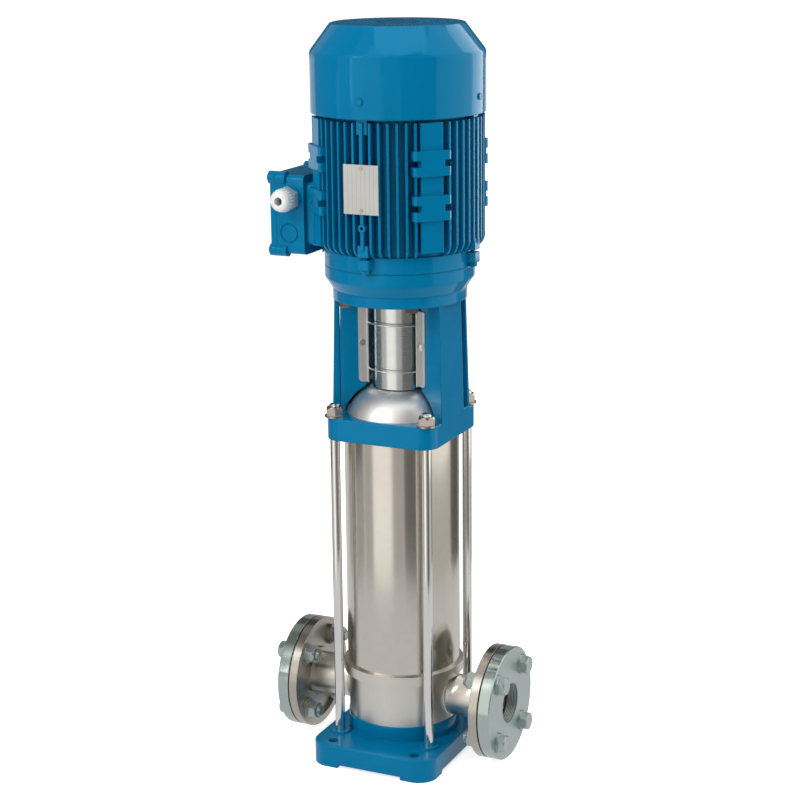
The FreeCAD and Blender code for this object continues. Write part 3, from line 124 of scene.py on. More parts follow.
# name, degrees to the right of the camera, distance, height, width, height of the panel, watts,
# whether gloss shows the panel
LAMPS = (
    ("left_panel", -55, 2.4, 1.4, 1.0, 2.0, 18, True),
    ("right_panel", 78, 2.0, 1.3, 1.1, 2.0, 18, True),
    ("overhead", 10, 0.9, 2.9, 2.0, 2.0, 21, True),
    ("glint", -57, 2.2, 2.2, 0.12, 0.8, 14, True),
    ("rear_left", -150, 2.4, 1.4, 0.8, 2.0, 10, False),
    ("rear_right", 150, 2.4, 1.4, 0.8, 2.0, 10, False),
)

# Camera
CAMERA_AZIMUTH = math.radians(25.07)
CAMERA_DISTANCE = 2.747
CAMERA_HEIGHT = 1.240
CAMERA_ROLL = math.radians(-0.62)
CAMERA_SENSOR = 36.0
CAMERA_LENS = 89.37
AIM_RIGHT = -0.0019
AIM_HEIGHT = 0.5267


class PumpSizes(bpy.types.PropertyGroup):
    """Sizes of the small pieces, in metres."""
    thread_depth: bpy.props.FloatProperty(
        name="Thread depth", description="How far a thread's crest stands out", default=0.0007,
        unit="LENGTH")
    port_thread_pitch: bpy.props.FloatProperty(
        name="Port thread pitch", description="Pitch of the pipe thread in the ports", default=0.0023,
        unit="LENGTH")
    bolt_thread_pitch: bpy.props.FloatProperty(
        name="Bolt thread pitch", description="Pitch of the flange bolts' threads", default=0.0012,
        unit="LENGTH")
    grille_hole: bpy.props.FloatProperty(
        name="Grille hole", description="Width of a hole in the air intake mesh", default=0.0042,
        unit="LENGTH")
    grille_pitch: bpy.props.FloatProperty(
        name="Grille pitch", description="Distance from hole to hole in the mesh", default=0.0062,
        unit="LENGTH")
    cover_cone: bpy.props.FloatProperty(
        name="Cover cone", description="Height of the cone of the fan cover", default=0.0365, unit="LENGTH")
    cover_cone_inset: bpy.props.FloatProperty(
        name="Cover cone inset", description="How far the cone draws in up to the cover's top",
        default=0.0282, unit="LENGTH")
    cover_wall: bpy.props.FloatProperty(
        name="Cover wall", description="Sheet thickness of the fan cover", default=0.0016, unit="LENGTH")
    gland_ribs: bpy.props.IntProperty(
        name="Gland ribs", description="Number of grip ribs on the cable gland's nut", default=24)


class PumpColours(bpy.types.PropertyGroup):
    """Colours of the finishes."""
    paint: bpy.props.FloatVectorProperty(
        name="Enamel", description="Blue enamel of the castings and the motor", subtype="COLOR", size=3,
        default=(0.0, 0.157, 0.325))
    stainless: bpy.props.FloatVectorProperty(
        name="Stainless", description="Stainless steel of the pump end", subtype="COLOR", size=3,
        default=(0.66, 0.63, 0.58))
    zinc: bpy.props.FloatVectorProperty(
        name="Zinc", description="Zinc plating of the flanges and bolts", subtype="COLOR", size=3,
        default=(0.44, 0.515, 0.498))
    floor: bpy.props.FloatVectorProperty(
        name="Floor", description="Pale studio floor", subtype="COLOR", size=3, default=(0.9, 0.9, 0.9))


def sizes():
    """The scene's sizes of the small pieces."""
    return bpy.context.scene.pump_sizes


def colours():
    """The scene's colours of the finishes."""
    return bpy.context.scene.pump_colours


# Node groups shared by the finishes

def new_group(name, inputs, outputs):
    """A shader node group with named float, colour or vector sockets."""
    group = bpy.data.node_groups.new(name, "ShaderNodeTree")
    for label, kind, value in inputs:
        socket = group.interface.new_socket(name=label, in_out="INPUT", socket_type=kind)
        socket.default_value = value
    for label, kind in outputs:
        group.interface.new_socket(name=label, in_out="OUTPUT", socket_type=kind)
    start = group.nodes.new("NodeGroupInput")
    end = group.nodes.new("NodeGroupOutput")
    return group, start, end


def math_node(tree, operation, first, second):
    """A sum or product of two numbers or sockets."""
    node = tree.nodes.new("ShaderNodeMath")
    node.operation = operation
    for index, value in enumerate((first, second)):
        if isinstance(value, (int, float)):
            node.inputs[index].default_value = value
        else:
            tree.links.new(value, node.inputs[index])
    return node.outputs[0]


def noise(tree, vector, scale, detail=3.0):
    """Noise over a vector, by a fixed number or a socket for the scale."""
    node = tree.nodes.new("ShaderNodeTexNoise")
    node.inputs["Detail"].default_value = detail
    if isinstance(scale, (int, float)):
        node.inputs["Scale"].default_value = scale
    else:
        tree.links.new(scale, node.inputs["Scale"])
    tree.links.new(vector, node.inputs["Vector"])
    return node.outputs["Fac"]


def ranged(tree, value, low_in, high_in, low_out, high_out):
    """Maps a value from one range to another, whose ends may be numbers or sockets."""
    node = tree.nodes.new("ShaderNodeMapRange")
    node.inputs["From Min"].default_value = low_in
    node.inputs["From Max"].default_value = high_in
    for name, number in (("To Min", low_out), ("To Max", high_out)):
        if isinstance(number, (int, float)):
            node.inputs[name].default_value = number
        else:
            tree.links.new(number, node.inputs[name])
    tree.links.new(value, node.inputs["Value"])
    return node.outputs[0]


def object_vector(tree):
    """Place on the object, in its own coordinates."""
    return tree.nodes.new("ShaderNodeTexCoord").outputs["Object"]


def build_mottle_group():
    """Slow and fine colour variation: mixes a colour with a darker and a lighter one."""
    group, start, end = new_group(
        "mottle",
        [("Colour", "NodeSocketColor", (1, 1, 1, 1)), ("Amount", "NodeSocketFloat", 0.1),
         ("Scale", "NodeSocketFloat", 12.0), ("Rough Low", "NodeSocketFloat", 0.2),
         ("Rough High", "NodeSocketFloat", 0.3)],
        [("Colour", "NodeSocketColor"), ("Roughness", "NodeSocketFloat"), ("Height", "NodeSocketFloat")])
    vector = object_vector(group)
    broad = noise(group, vector, start.outputs["Scale"], 4.0)
    fine = noise(group, vector, math_node(group, "MULTIPLY", start.outputs["Scale"], 14.0), 3.0)
    broad_share = math_node(group, "MULTIPLY", broad, 0.7)
    fine_share = math_node(group, "MULTIPLY", fine, 0.3)
    both = math_node(group, "ADD", broad_share, fine_share)
    centred = math_node(group, "SUBTRACT", both, 0.5)
    swing = math_node(group, "MULTIPLY", start.outputs["Amount"], 4.0)
    gain = math_node(group, "ADD", 1.0, math_node(group, "MULTIPLY", centred, swing))
    scale_node = group.nodes.new("ShaderNodeVectorMath")
    scale_node.operation = "SCALE"
    group.links.new(start.outputs["Colour"], scale_node.inputs[0])
    group.links.new(gain, scale_node.inputs["Scale"])
    group.links.new(scale_node.outputs[0], end.inputs["Colour"])
    rough = ranged(group, both, 0.3, 0.7, start.outputs["Rough Low"], start.outputs["Rough High"])
    group.links.new(rough, end.inputs["Roughness"])
    group.links.new(fine, end.inputs["Height"])
    return group


def build_brushed_group():
    """Fine parallel scratches. The three stretch values say along which axis they run."""
    group, start, end = new_group(
        "brushed_lines",
        [("Stretch", "NodeSocketVector", (1, 1, 1)), ("Scale", "NodeSocketFloat", 60.0),
         ("Rough Low", "NodeSocketFloat", 0.15), ("Rough High", "NodeSocketFloat", 0.35)],
        [("Roughness", "NodeSocketFloat"), ("Height", "NodeSocketFloat"), ("Mask", "NodeSocketFloat")])
    product = group.nodes.new("ShaderNodeVectorMath")
    product.operation = "MULTIPLY"
    group.links.new(object_vector(group), product.inputs[0])
    group.links.new(start.outputs["Stretch"], product.inputs[1])
    lines = noise(group, product.outputs[0], start.outputs["Scale"], 6.0)
    rough = ranged(group, lines, 0.3, 0.7, start.outputs["Rough Low"], start.outputs["Rough High"])
    group.links.new(rough, end.inputs["Roughness"])
    group.links.new(lines, end.inputs["Height"])
    group.links.new(lines, end.inputs["Mask"])
    return group


# Finishes

def blank_material(name, metallic=0.0):
    """A new material with its node tree and its shader."""
    material = bpy.data.materials.new(name)
    material.use_nodes = True
    tree = material.node_tree
    shader = tree.nodes["Principled BSDF"]
    shader.inputs["Metallic"].default_value = metallic
    return material, tree, shader


def bump_to(tree, shader, height, strength, distance, edge=0.0):
    """Raises a skin by a height, and rounds sharp edges to a radius where one is given."""
    node = tree.nodes.new("ShaderNodeBump")
    if edge:
        rounded = tree.nodes.new("ShaderNodeBevel")
        rounded.samples = EDGE_SAMPLES
        rounded.inputs["Radius"].default_value = edge
        tree.links.new(rounded.outputs[0], node.inputs["Normal"])
    node.inputs["Strength"].default_value = strength
    node.inputs["Distance"].default_value = distance
    tree.links.new(height, node.inputs["Height"])
    tree.links.new(node.outputs[0], shader.inputs["Normal"])


def place_group(tree, name, **values):
    """A shared node group in a material, with its values set by name."""
    node = tree.nodes.new("ShaderNodeGroup")
    node.node_tree = bpy.data.node_groups[name]
    for label, value in values.items():
        node.inputs[label.replace("_", " ")].default_value = value
    return node


def mottled(name, colour, amount, scale, rough, bump, distance, metallic=0.0, edge=0.0):
    """A finish whose colour, gloss and skin vary softly over the surface."""
    material, tree, shader = blank_material(name, metallic)
    node = place_group(tree, "mottle", Colour=(*colour, 1.0), Amount=amount, Scale=scale,
                       Rough_Low=rough[0], Rough_High=rough[1])
    tree.links.new(node.outputs["Colour"], shader.inputs["Base Color"])
    tree.links.new(node.outputs["Roughness"], shader.inputs["Roughness"])
    bump_to(tree, shader, node.outputs["Height"], bump, distance, edge)
    return material


def tint_gloss(material, level):
    """Weaker gloss with a blue cast, so that the enamel keeps its deep colour."""
    shader = material.node_tree.nodes["Principled BSDF"]
    shader.inputs["Specular IOR Level"].default_value = level
    shader.inputs["Specular Tint"].default_value = GLOSS_TINT


def enamel():
    """Glossy blue enamel over cast iron."""
    material = mottled("blue_enamel", colours().paint, 0.05, 9.0, (0.07, 0.13), 0.06, 0.0003,
                       edge=ENAMEL_EDGE)
    tint_gloss(material, 0.42)
    return material


def rough_enamel():
    """The same enamel on coarse cast surfaces."""
    material = mottled("cast_enamel", colours().paint, 0.07, 24.0, (0.1, 0.18), 0.08, 0.0006,
                       edge=CAST_EDGE)
    tint_gloss(material, 0.4)
    return material


def brushed(name, colour, stretch, scale, rough, bump):
    """Metal with fine lines, softly uneven in colour."""
    material, tree, shader = blank_material(name, 1.0)
    lines = place_group(tree, "brushed_lines", Stretch=stretch, Scale=scale, Rough_Low=rough[0],
                        Rough_High=rough[1])
    tint = place_group(tree, "mottle", Colour=(*colour, 1.0), Amount=METAL_UNEVENNESS, Scale=6.0)
    tree.links.new(tint.outputs["Colour"], shader.inputs["Base Color"])
    tree.links.new(lines.outputs["Roughness"], shader.inputs["Roughness"])
    bump_to(tree, shader, lines.outputs["Height"], bump, 0.0002)
    return material


def blasted_steel():
    """Bead-blasted stainless of the pump casing."""
    return mottled("blasted_stainless", (0.72, 0.7, 0.65), 0.06, 10.0, (0.28, 0.4), 0.1, 0.0002, 1.0)


def zinc_plate():
    """Zinc plating: a faintly uneven, slightly green grey."""
    return mottled("zinc_plate", colours().zinc, 0.06, 22.0, (0.24, 0.36), 0.1, 0.0002, 0.9, METAL_EDGE)


def turned_flange(name, colour, face_rough, rim_rough, metallic):
    """Flange metal: a satin face, and a smoother rim with fine turned lines round it."""
    material, tree, shader = blank_material(name, metallic)
    tint = place_group(tree, "mottle", Colour=(*colour, 1.0), Amount=0.07, Scale=22.0,
                       Rough_Low=face_rough[0], Rough_High=face_rough[1])
    lines = place_group(tree, "brushed_lines", Stretch=(40.0, 0.6, 0.6), Scale=30.0, Rough_Low=rim_rough[0],
                        Rough_High=rim_rough[1])
    axis = tree.nodes.new("ShaderNodeMapping")
    axis.inputs["Location"].default_value = (0.0, 0.0, -PORT_HEIGHT)
    axis.inputs["Scale"].default_value = (0.0, 1.0, 1.0)
    tree.links.new(object_vector(tree), axis.inputs["Vector"])
    length = tree.nodes.new("ShaderNodeVectorMath")
    length.operation = "LENGTH"
    tree.links.new(axis.outputs[0], length.inputs[0])
    on_rim = ranged(tree, length.outputs["Value"], FLANGE_RADIUS - RIM_STEP,
                    FLANGE_RADIUS - RIM_STEP / 2, 0.0, 1.0)
    rough = tree.nodes.new("ShaderNodeMix")
    tree.links.new(on_rim, rough.inputs["Factor"])
    tree.links.new(tint.outputs["Roughness"], rough.inputs["A"])
    tree.links.new(lines.outputs["Roughness"], rough.inputs["B"])
    tree.links.new(tint.outputs["Colour"], shader.inputs["Base Color"])
    tree.links.new(rough.outputs["Result"], shader.inputs["Roughness"])
    bump_to(tree, shader, lines.outputs["Height"], 0.05, 0.0002, METAL_EDGE)
    return material


def plain_finish(name, colour, rough, metallic=0.0, bump=0.1):
    """A plain moulded, cast or machined finish."""
    return mottled(name, colour, 0.08, 20.0, rough, bump, 0.0003, metallic)


def ruled_plate():
    """Bare aluminium plate with faint printed rules and no words."""
    material, tree, shader = blank_material("ruled_plate", 0.6)
    separate = tree.nodes.new("ShaderNodeSeparateXYZ")
    tree.links.new(object_vector(tree), separate.inputs[0])
    waves = math_node(tree, "PINGPONG", separate.outputs["X"], RULE_SPACING)
    rule = ranged(tree, waves, 0.0002, 0.0004, 0.7, 1.0)
    tint = place_group(tree, "mottle", Colour=(0.47, 0.475, 0.465, 1.0), Amount=0.08, Scale=30.0,
                       Rough_Low=0.3, Rough_High=0.42)
    shade = tree.nodes.new("ShaderNodeVectorMath")
    shade.operation = "SCALE"
    tree.links.new(tint.outputs["Colour"], shade.inputs[0])
    tree.links.new(rule, shade.inputs["Scale"])
    tree.links.new(shade.outputs[0], shader.inputs["Base Color"])
    tree.links.new(tint.outputs["Roughness"], shader.inputs["Roughness"])
    bump_to(tree, shader, rule, 0.2, 0.0001)
    return material


def build_finishes():
    """Builds the shared node groups and every finish, by the names that FINISH_OF_NODE uses."""
    build_mottle_group()
    build_brushed_group()
    steel = colours().stainless
    return {
        "enamel": enamel(),
        "cast": rough_enamel(),
        "mesh": plain_finish("mesh_enamel", colours().paint, (0.25, 0.35)),
        "sleeve": brushed("brushed_sleeve", steel, (0.3, 0.3, 30.0), 90.0, (0.14, 0.22), 0.015),
        "dome": plain_finish("satin_dome", (0.8, 0.79, 0.77), (0.36, 0.46), 1.0, 0.06),
        "coupling": brushed("turned_coupling", (0.66, 0.69, 0.69), (0.5, 0.5, 60.0), 40.0,
                            (0.15, 0.28), 0.012),
        "rod": brushed("drawn_rod", (0.78, 0.78, 0.77), (20.0, 20.0, 0.3), 30.0, (0.05, 0.14), 0.03),
        "blasted": blasted_steel(),
        "zinc": zinc_plate(),
        "zinc_flange": turned_flange("zinc_flange", colours().zinc, (0.26, 0.38), (0.07, 0.15), 0.9),
        "steel_flange": turned_flange("steel_flange", (0.5, 0.47, 0.42), (0.3, 0.42), (0.16, 0.28), 1.0),
        "guard": brushed("guard_strip", (0.8, 0.81, 0.8), (20.0, 20.0, 0.5), 30.0, (0.28, 0.4), 0.03),
        "nut": plain_finish("nut_steel", (0.4, 0.37, 0.34), (0.15, 0.28), 1.0),
        "gasket": plain_finish("gasket", (0.012, 0.012, 0.014), (0.6, 0.75)),
        "pale": plain_finish("pale_plastic", (0.78, 0.78, 0.76), (0.3, 0.42)),
        "plastic": plain_finish("grey_plastic", (0.4, 0.47, 0.53), (0.3, 0.42)),
        "black": plain_finish("black_plastic", (0.02, 0.02, 0.022), (0.4, 0.55)),
        "dull": plain_finish("dark_steel", (0.2, 0.17, 0.15), (0.35, 0.5), 0.9),
        "copper": plain_finish("copper_wire", (0.6, 0.25, 0.1), (0.3, 0.45), 0.9),
        "plate": ruled_plate(),
    }


FINISH_OF_NODE = {
    "enamel": ("drive_end_shield", "motor_frame", "fan_cover", "fan_cover_screws", "terminal_box",
               "terminal_box_lid", "lid_screws", "shield_bolts", "fan_end_shield"),
    "cast": ("base_casting", "lantern"),
    "sleeve": ("outer_sleeve", "stage_casings", "impellers"),
    "guard": ("coupling_guard_front", "coupling_guard_rear"),
    "dome": ("head_cover",),
    "coupling": ("coupling_half_front", "coupling_half_rear", "motor_shaft", "pump_shaft"),
    "rod": ("tie_rods", "guard_screws"),
    "blasted": ("pump_casing", "suction_chamber", "stage_support_ring", "stage_clamp_ring", "drain_plug"),
    "steel_flange": ("suction_flange", "delivery_flange"),
    "zinc_flange": ("suction_counterflange", "delivery_counterflange"),
    "zinc": ("flange_bolts", "flange_nuts", "flange_washers"),
    "nut": ("tie_rod_nuts", "tie_rod_washers", "shaft_nut", "rotor_core", "lower_bearing_outer_ring",
            "lower_bearing_inner_ring", "lower_bearing_balls", "upper_bearing_outer_ring",
            "upper_bearing_inner_ring", "upper_bearing_balls", "nameplate_rivets"),
    "gasket": ("suction_gasket", "delivery_gasket", "sleeve_seals"),
    "plastic": ("gland_body",),
    "pale": ("gland_nut",),
    "black": ("fan", "terminal_block", "seal_seat", "seal_rotor"),
    "dull": ("motor_flange_bolts", "coupling_screws", "stator_core"),
    "copper": ("stator_winding",),
    "plate": ("nameplate",),
}


def give_finish(obj, finish):
    """Gives an object one finish in place of those it has."""
    obj.data.materials.clear()
    obj.data.materials.append(bpy.data.materials[finish.name])


# Tools for the new pieces

def deselect_all():
    """Leaves nothing selected before the next operator."""
    bpy.ops.object.select_all(action="DESELECT")


def settle(obj, name):
    """Names a finished piece and moves its place into its mesh."""
    deselect_all()
    obj.select_set(True)
    bpy.context.view_layer.objects.active = obj
    bpy.ops.object.transform_apply(location=True, rotation=True, scale=True)
    obj.name = name
    obj.data.name = name
    return obj


def join_pieces(pieces, name):
    """Joins objects into one named piece."""
    deselect_all()
    for piece in pieces:
        piece.select_set(True)
    bpy.context.view_layer.objects.active = pieces[0]
    bpy.ops.object.join()
    return settle(bpy.context.object, name)


def dress(piece, finish):
    """Finishes a piece and lets it ride on the body that stands still."""
    give_finish(piece, finish)
    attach(piece, "frame")


def thread_ring(centre, axis, radius, depth, sections):
    """One turn of a thread, as a ring with a four-sided crest."""
    deselect_all()
    bpy.ops.mesh.primitive_torus_add(
        major_segments=sections, minor_segments=4, major_radius=radius, minor_radius=depth,
        location=centre, rotation=Vector((0, 0, 1)).rotation_difference(Vector(axis)).to_euler())
    return bpy.context.object


class PUMP_OT_port_threads(bpy.types.Operator):
    """Cut threads look inside both port flanges"""
    bl_idname = "pump.port_threads"
    bl_label = "Port threads"

    def execute(self, context):
        depth = sizes().thread_depth
        pitch = sizes().port_thread_pitch
        for side, node in ((-1, "suction_counterflange"), (1, "delivery_counterflange")):
            low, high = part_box(node)
            centre_z = (low[2] + high[2]) / 2
            near = min(abs(low[0]), abs(high[0]))
            far = max(abs(low[0]), abs(high[0]))
            rings = []
            place = near + pitch
            while place < far - pitch * 0.6:
                centre = (side * place, 0, centre_z)
                rings.append(thread_ring(centre, (1, 0, 0), PORT_THREAD_RADIUS, depth, THREAD_SECTIONS))
                place += pitch
            piece = join_pieces(rings, node.replace("counterflange", "port_thread"))
            dress(piece, bpy.data.materials["zinc_plate"])
        return {"FINISHED"}


class PUMP_OT_finishes(bpy.types.Operator):
    """Give every built piece its finish"""
    bl_idname = "pump.finishes"
    bl_label = "Finishes"

    def execute(self, context):
        finishes = build_finishes()
        dressed = set()
        for kind, nodes in FINISH_OF_NODE.items():
            for node in nodes:
                give_finish(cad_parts[node], finishes[kind])
                dressed.add(node)
        bare = sorted(set(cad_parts) - dressed)
        if bare:
            raise RuntimeError("nodes without a finish: " + ", ".join(bare))
        return {"FINISHED"}


def cover_profile():
    """Outer line of the fan cover from its lower edge to the rim of the air intake: radius, height."""
    low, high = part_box("fan_cover")
    outer = high[0]
    top = high[2]
    shoulder = top - sizes().cover_cone
    rim = outer - sizes().cover_cone_inset
    points = []
    for radius, height, line in ((outer, low[2], COVER_HEM), (outer, shoulder, COVER_SHOULDER),
                                 (rim, top, COVER_RIM)):
        for inset, rise in line:
            points.append((radius - inset, height + rise))
    points.append((MESH_REACH, top))
    return points


class PUMP_OT_fan_cover(bpy.types.Operator):
    """Pressed fan cover: a skirt, a short cone and a round air intake"""
    bl_idname = "pump.fan_cover"
    bl_label = "Fan cover"

    def execute(self, context):
        profile = cover_profile()
        radius, height = profile[0]
        deselect_all()
        bpy.ops.mesh.primitive_circle_add(vertices=COVER_SIDES, radius=radius, fill_type="NOTHING",
                                          location=(0, 0, height))
        cover = bpy.context.object
        bpy.ops.object.transform_apply(location=True, rotation=True, scale=True)
        bpy.ops.object.mode_set(mode="EDIT")
        bpy.ops.mesh.select_all(action="SELECT")
        for next_radius, next_height in profile[1:]:
            bpy.ops.mesh.extrude_region_move(
                TRANSFORM_OT_translate={"value": (0, 0, next_height - height)})
            share = next_radius / radius
            bpy.ops.transform.resize(value=(share, share, 1), center_override=(0, 0, next_height))
            radius, height = next_radius, next_height
        bpy.ops.mesh.select_all(action="SELECT")
        bpy.ops.mesh.normals_make_consistent(inside=False)
        bpy.ops.object.mode_set(mode="OBJECT")
        wall = cover.modifiers.new("wall", "SOLIDIFY")
        wall.thickness = sizes().cover_wall
        wall.offset = -1.0
        bpy.ops.object.modifier_apply(modifier=wall.name)
        deselect_all()
        bpy.ops.mesh.primitive_cylinder_add(
            vertices=COVER_SIDES, radius=CENTRE_DISC + CENTRE_LAP, depth=sizes().cover_wall,
            location=(0, 0, height - sizes().cover_wall / 2))
        piece = join_pieces([cover, bpy.context.object], "pressed_fan_cover")
        bpy.ops.object.shade_smooth_by_angle(angle=COVER_CREASE)
        dress(piece, bpy.data.materials["blue_enamel"])
        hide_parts("fan_cover")
        return {"FINISHED"}


class PUMP_OT_intake_mesh(bpy.types.Operator):
    """Fine perforated mesh over the air intake of the fan cover"""
    bl_idname = "pump.intake_mesh"
    bl_label = "Intake mesh"

    def execute(self, context):
        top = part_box("fan_cover")[1][2]
        pitch = sizes().grille_pitch
        hole = sizes().grille_hole
        deselect_all()
        bpy.ops.mesh.primitive_circle_add(vertices=6, radius=pitch / math.sqrt(3), fill_type="NGON",
                                          location=(0, 0, 0), rotation=(0, 0, math.pi / 6))
        cell = bpy.context.object
        bpy.ops.object.transform_apply(location=True, rotation=True, scale=True)
        bpy.ops.object.mode_set(mode="EDIT")
        bpy.ops.mesh.select_all(action="SELECT")
        bpy.ops.mesh.inset(thickness=(pitch - hole) / 2, use_even_offset=True)
        bpy.ops.mesh.delete(type="FACE")
        bpy.ops.object.mode_set(mode="OBJECT")
        cells = [cell]
        row_step = pitch * math.sqrt(3) / 2
        reach = MESH_REACH + pitch / 2
        rows = int(reach / row_step) + 1
        for row in range(-rows, rows + 1):
            for column in range(-rows - 1, rows + 2):
                x = (column + (row % 2) / 2) * pitch
                y = row * row_step
                distance = math.hypot(x, y)
                if distance > reach or distance < CENTRE_DISC:
                    continue
                copy = cell.copy()
                copy.data = cell.data.copy()
                copy.location = (x, y, top)
                bpy.context.collection.objects.link(copy)
                cells.append(copy)
        bpy.data.objects.remove(cells.pop(0))
        piece = join_pieces(cells, "intake_mesh")
        bpy.ops.object.mode_set(mode="EDIT")
        bpy.ops.mesh.select_all(action="SELECT")
        bpy.ops.mesh.remove_doubles(threshold=MESH_WELD)
        bpy.ops.object.mode_set(mode="OBJECT")
        thick = piece.modifiers.new("thickness", "SOLIDIFY")
        thick.thickness = MESH_THICKNESS
        thick.offset = -1.0
        bpy.ops.object.modifier_apply(modifier=thick.name)
        dress(piece, bpy.data.materials["mesh_enamel"])
        return {"FINISHED"}


def rounded_tip(centre, axis, radius, height):
    """Turned end of a screw: a short disc whose outer edge is rounded."""
    deselect_all()
    bpy.ops.mesh.primitive_cylinder_add(
        vertices=SCREW_SECTIONS, radius=radius, depth=height, location=centre,
        rotation=Vector((0, 0, 1)).rotation_difference(Vector(axis)).to_euler())
    tip = bpy.context.object
    bevel = tip.modifiers.new("turned_edge", "BEVEL")
    bevel.width = height * TIP_ROUND
    bevel.segments = 3
    bevel.limit_method = "ANGLE"
    bpy.ops.object.modifier_apply(modifier=bevel.name)
    return tip


def threaded_end(centre, axis, radius, length):
    """Thread crests over a screw's bare end, and its rounded tip. centre is the end's middle point."""
    pitch = sizes().bolt_thread_pitch
    depth = sizes().thread_depth
    outward = Vector(axis)
    pieces = []
    back = length - pitch / 2
    while back > 0:
        pieces.append(thread_ring(Vector(centre) - outward * back, axis, radius, depth * SCREW_CREST,
                                  SCREW_SECTIONS))
        back -= pitch
    pieces.append(rounded_tip(Vector(centre) + outward * TIP_HEIGHT / 2, axis, radius - depth, TIP_HEIGHT))
    return pieces


class PUMP_OT_screw_ends(bpy.types.Operator):
    """Threaded, rounded ends on the tie rods and the flange bolts"""
    bl_idname = "pump.screw_ends"
    bl_label = "Screw ends"

    def execute(self, context):
        low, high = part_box("tie_rods")
        ends = []
        for x in (low[0] + ROD_RADIUS, high[0] - ROD_RADIUS):
            for y in (low[1] + ROD_RADIUS, high[1] - ROD_RADIUS):
                ends += threaded_end((x, y, high[2]), (0, 0, 1), ROD_RADIUS, ROD_BARE)
        piece = join_pieces(ends, "tie_rod_ends")
        dress(piece, bpy.data.materials["drawn_rod"])
        ends = []
        for side in (-1, 1):
            for turn in range(FLANGE_BOLTS):
                angle = 2 * math.pi * (turn + 0.5) / FLANGE_BOLTS
                place = (side * FLANGE_BOLT_END, FLANGE_BOLT_CIRCLE / 2 * math.cos(angle),
                         PORT_HEIGHT + FLANGE_BOLT_CIRCLE / 2 * math.sin(angle))
                ends += threaded_end(place, (-side, 0, 0), FLANGE_BOLT_RADIUS, FLANGE_BOLT_BARE)
        piece = join_pieces(ends, "flange_bolt_ends")
        dress(piece, bpy.data.materials["zinc_plate"])
        return {"FINISHED"}


class PUMP_OT_gland_ribs(bpy.types.Operator):
    """Grip ribs round the cable gland's clamping nut"""
    bl_idname = "pump.gland_ribs"
    bl_label = "Gland ribs"

    def execute(self, context):
        low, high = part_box("gland_nut")
        centre = Vector(((low[0] + high[0]) / 2, 0, (low[2] + high[2]) / 2))
        radius = (high[0] - low[0]) / 2
        near = high[1] - RIB_FRONT_INSET
        far = low[1] + RIB_BACK_INSET
        count = sizes().gland_ribs
        ribs = []
        for index in range(count):
            angle = 2 * math.pi * index / count
            place = centre + Vector((math.cos(angle), 0, math.sin(angle))) * radius
            deselect_all()
            bpy.ops.mesh.primitive_cylinder_add(
                vertices=10, radius=RIB_RADIUS, depth=near - far,
                location=(place.x, (near + far) / 2, place.z), rotation=(math.pi / 2, 0, 0))
            rib = bpy.context.object
            bevel = rib.modifiers.new("soft_ends", "BEVEL")
            bevel.width = RIB_ROUND
            bevel.segments = 2
            bevel.limit_method = "ANGLE"
            bevel.angle_limit = math.radians(60)
            bpy.ops.object.modifier_apply(modifier=bevel.name)
            bpy.ops.object.shade_smooth_by_angle(angle=math.radians(40))
            ribs.append(rib)
        piece = join_pieces(ribs, "gland_nut_ribs")
        dress(piece, bpy.data.materials["pale_plastic"])
        return {"FINISHED"}


class PUMP_OT_studio(bpy.types.Operator):
    """Pale floor, soft lamps and the camera"""
    bl_idname = "pump.studio"
    bl_label = "Studio"

    def execute(self, context):
        build_floor()
        build_world()
        build_cards()
        build_lamps()
        build_camera()
        context.scene.view_settings.view_transform = "Standard"
        return {"FINISHED"}


def build_floor():
    """Pale floor: white to the camera apart from its shadow, and softer in reflections."""
    deselect_all()
    bpy.ops.mesh.primitive_plane_add(size=60.0, location=(0, 0, 0))
    floor = bpy.context.object
    floor.name = "studio_floor"
    material, tree, shader = blank_material("studio_floor")
    shader.inputs["Base Color"].default_value = (*colours().floor, 1.0)
    shader.inputs["Roughness"].default_value = 0.7
    shader.inputs["Specular IOR Level"].default_value = 0.0
    path = tree.nodes.new("ShaderNodeLightPath")
    lift = tree.nodes.new("ShaderNodeEmission")
    lift.inputs["Strength"].default_value = FLOOR_LIFT
    lifted = tree.nodes.new("ShaderNodeAddShader")
    tree.links.new(shader.outputs[0], lifted.inputs[0])
    tree.links.new(lift.outputs[0], lifted.inputs[1])
    mirrored = tree.nodes.new("ShaderNodeEmission")
    mirrored.inputs["Strength"].default_value = FLOOR_IN_METAL
    seen = math_node(tree, "MAXIMUM", path.outputs["Is Camera Ray"], path.outputs["Is Transmission Ray"])
    first = tree.nodes.new("ShaderNodeMixShader")
    tree.links.new(seen, first.inputs["Fac"])
    tree.links.new(shader.outputs[0], first.inputs[1])
    tree.links.new(lifted.outputs[0], first.inputs[2])
    second = tree.nodes.new("ShaderNodeMixShader")
    tree.links.new(path.outputs["Is Glossy Ray"], second.inputs["Fac"])
    tree.links.new(first.outputs[0], second.inputs[1])
    tree.links.new(mirrored.outputs[0], second.inputs[2])
    tree.links.new(second.outputs[0], tree.nodes["Material Output"].inputs["Surface"])
    floor.data.materials.append(material)


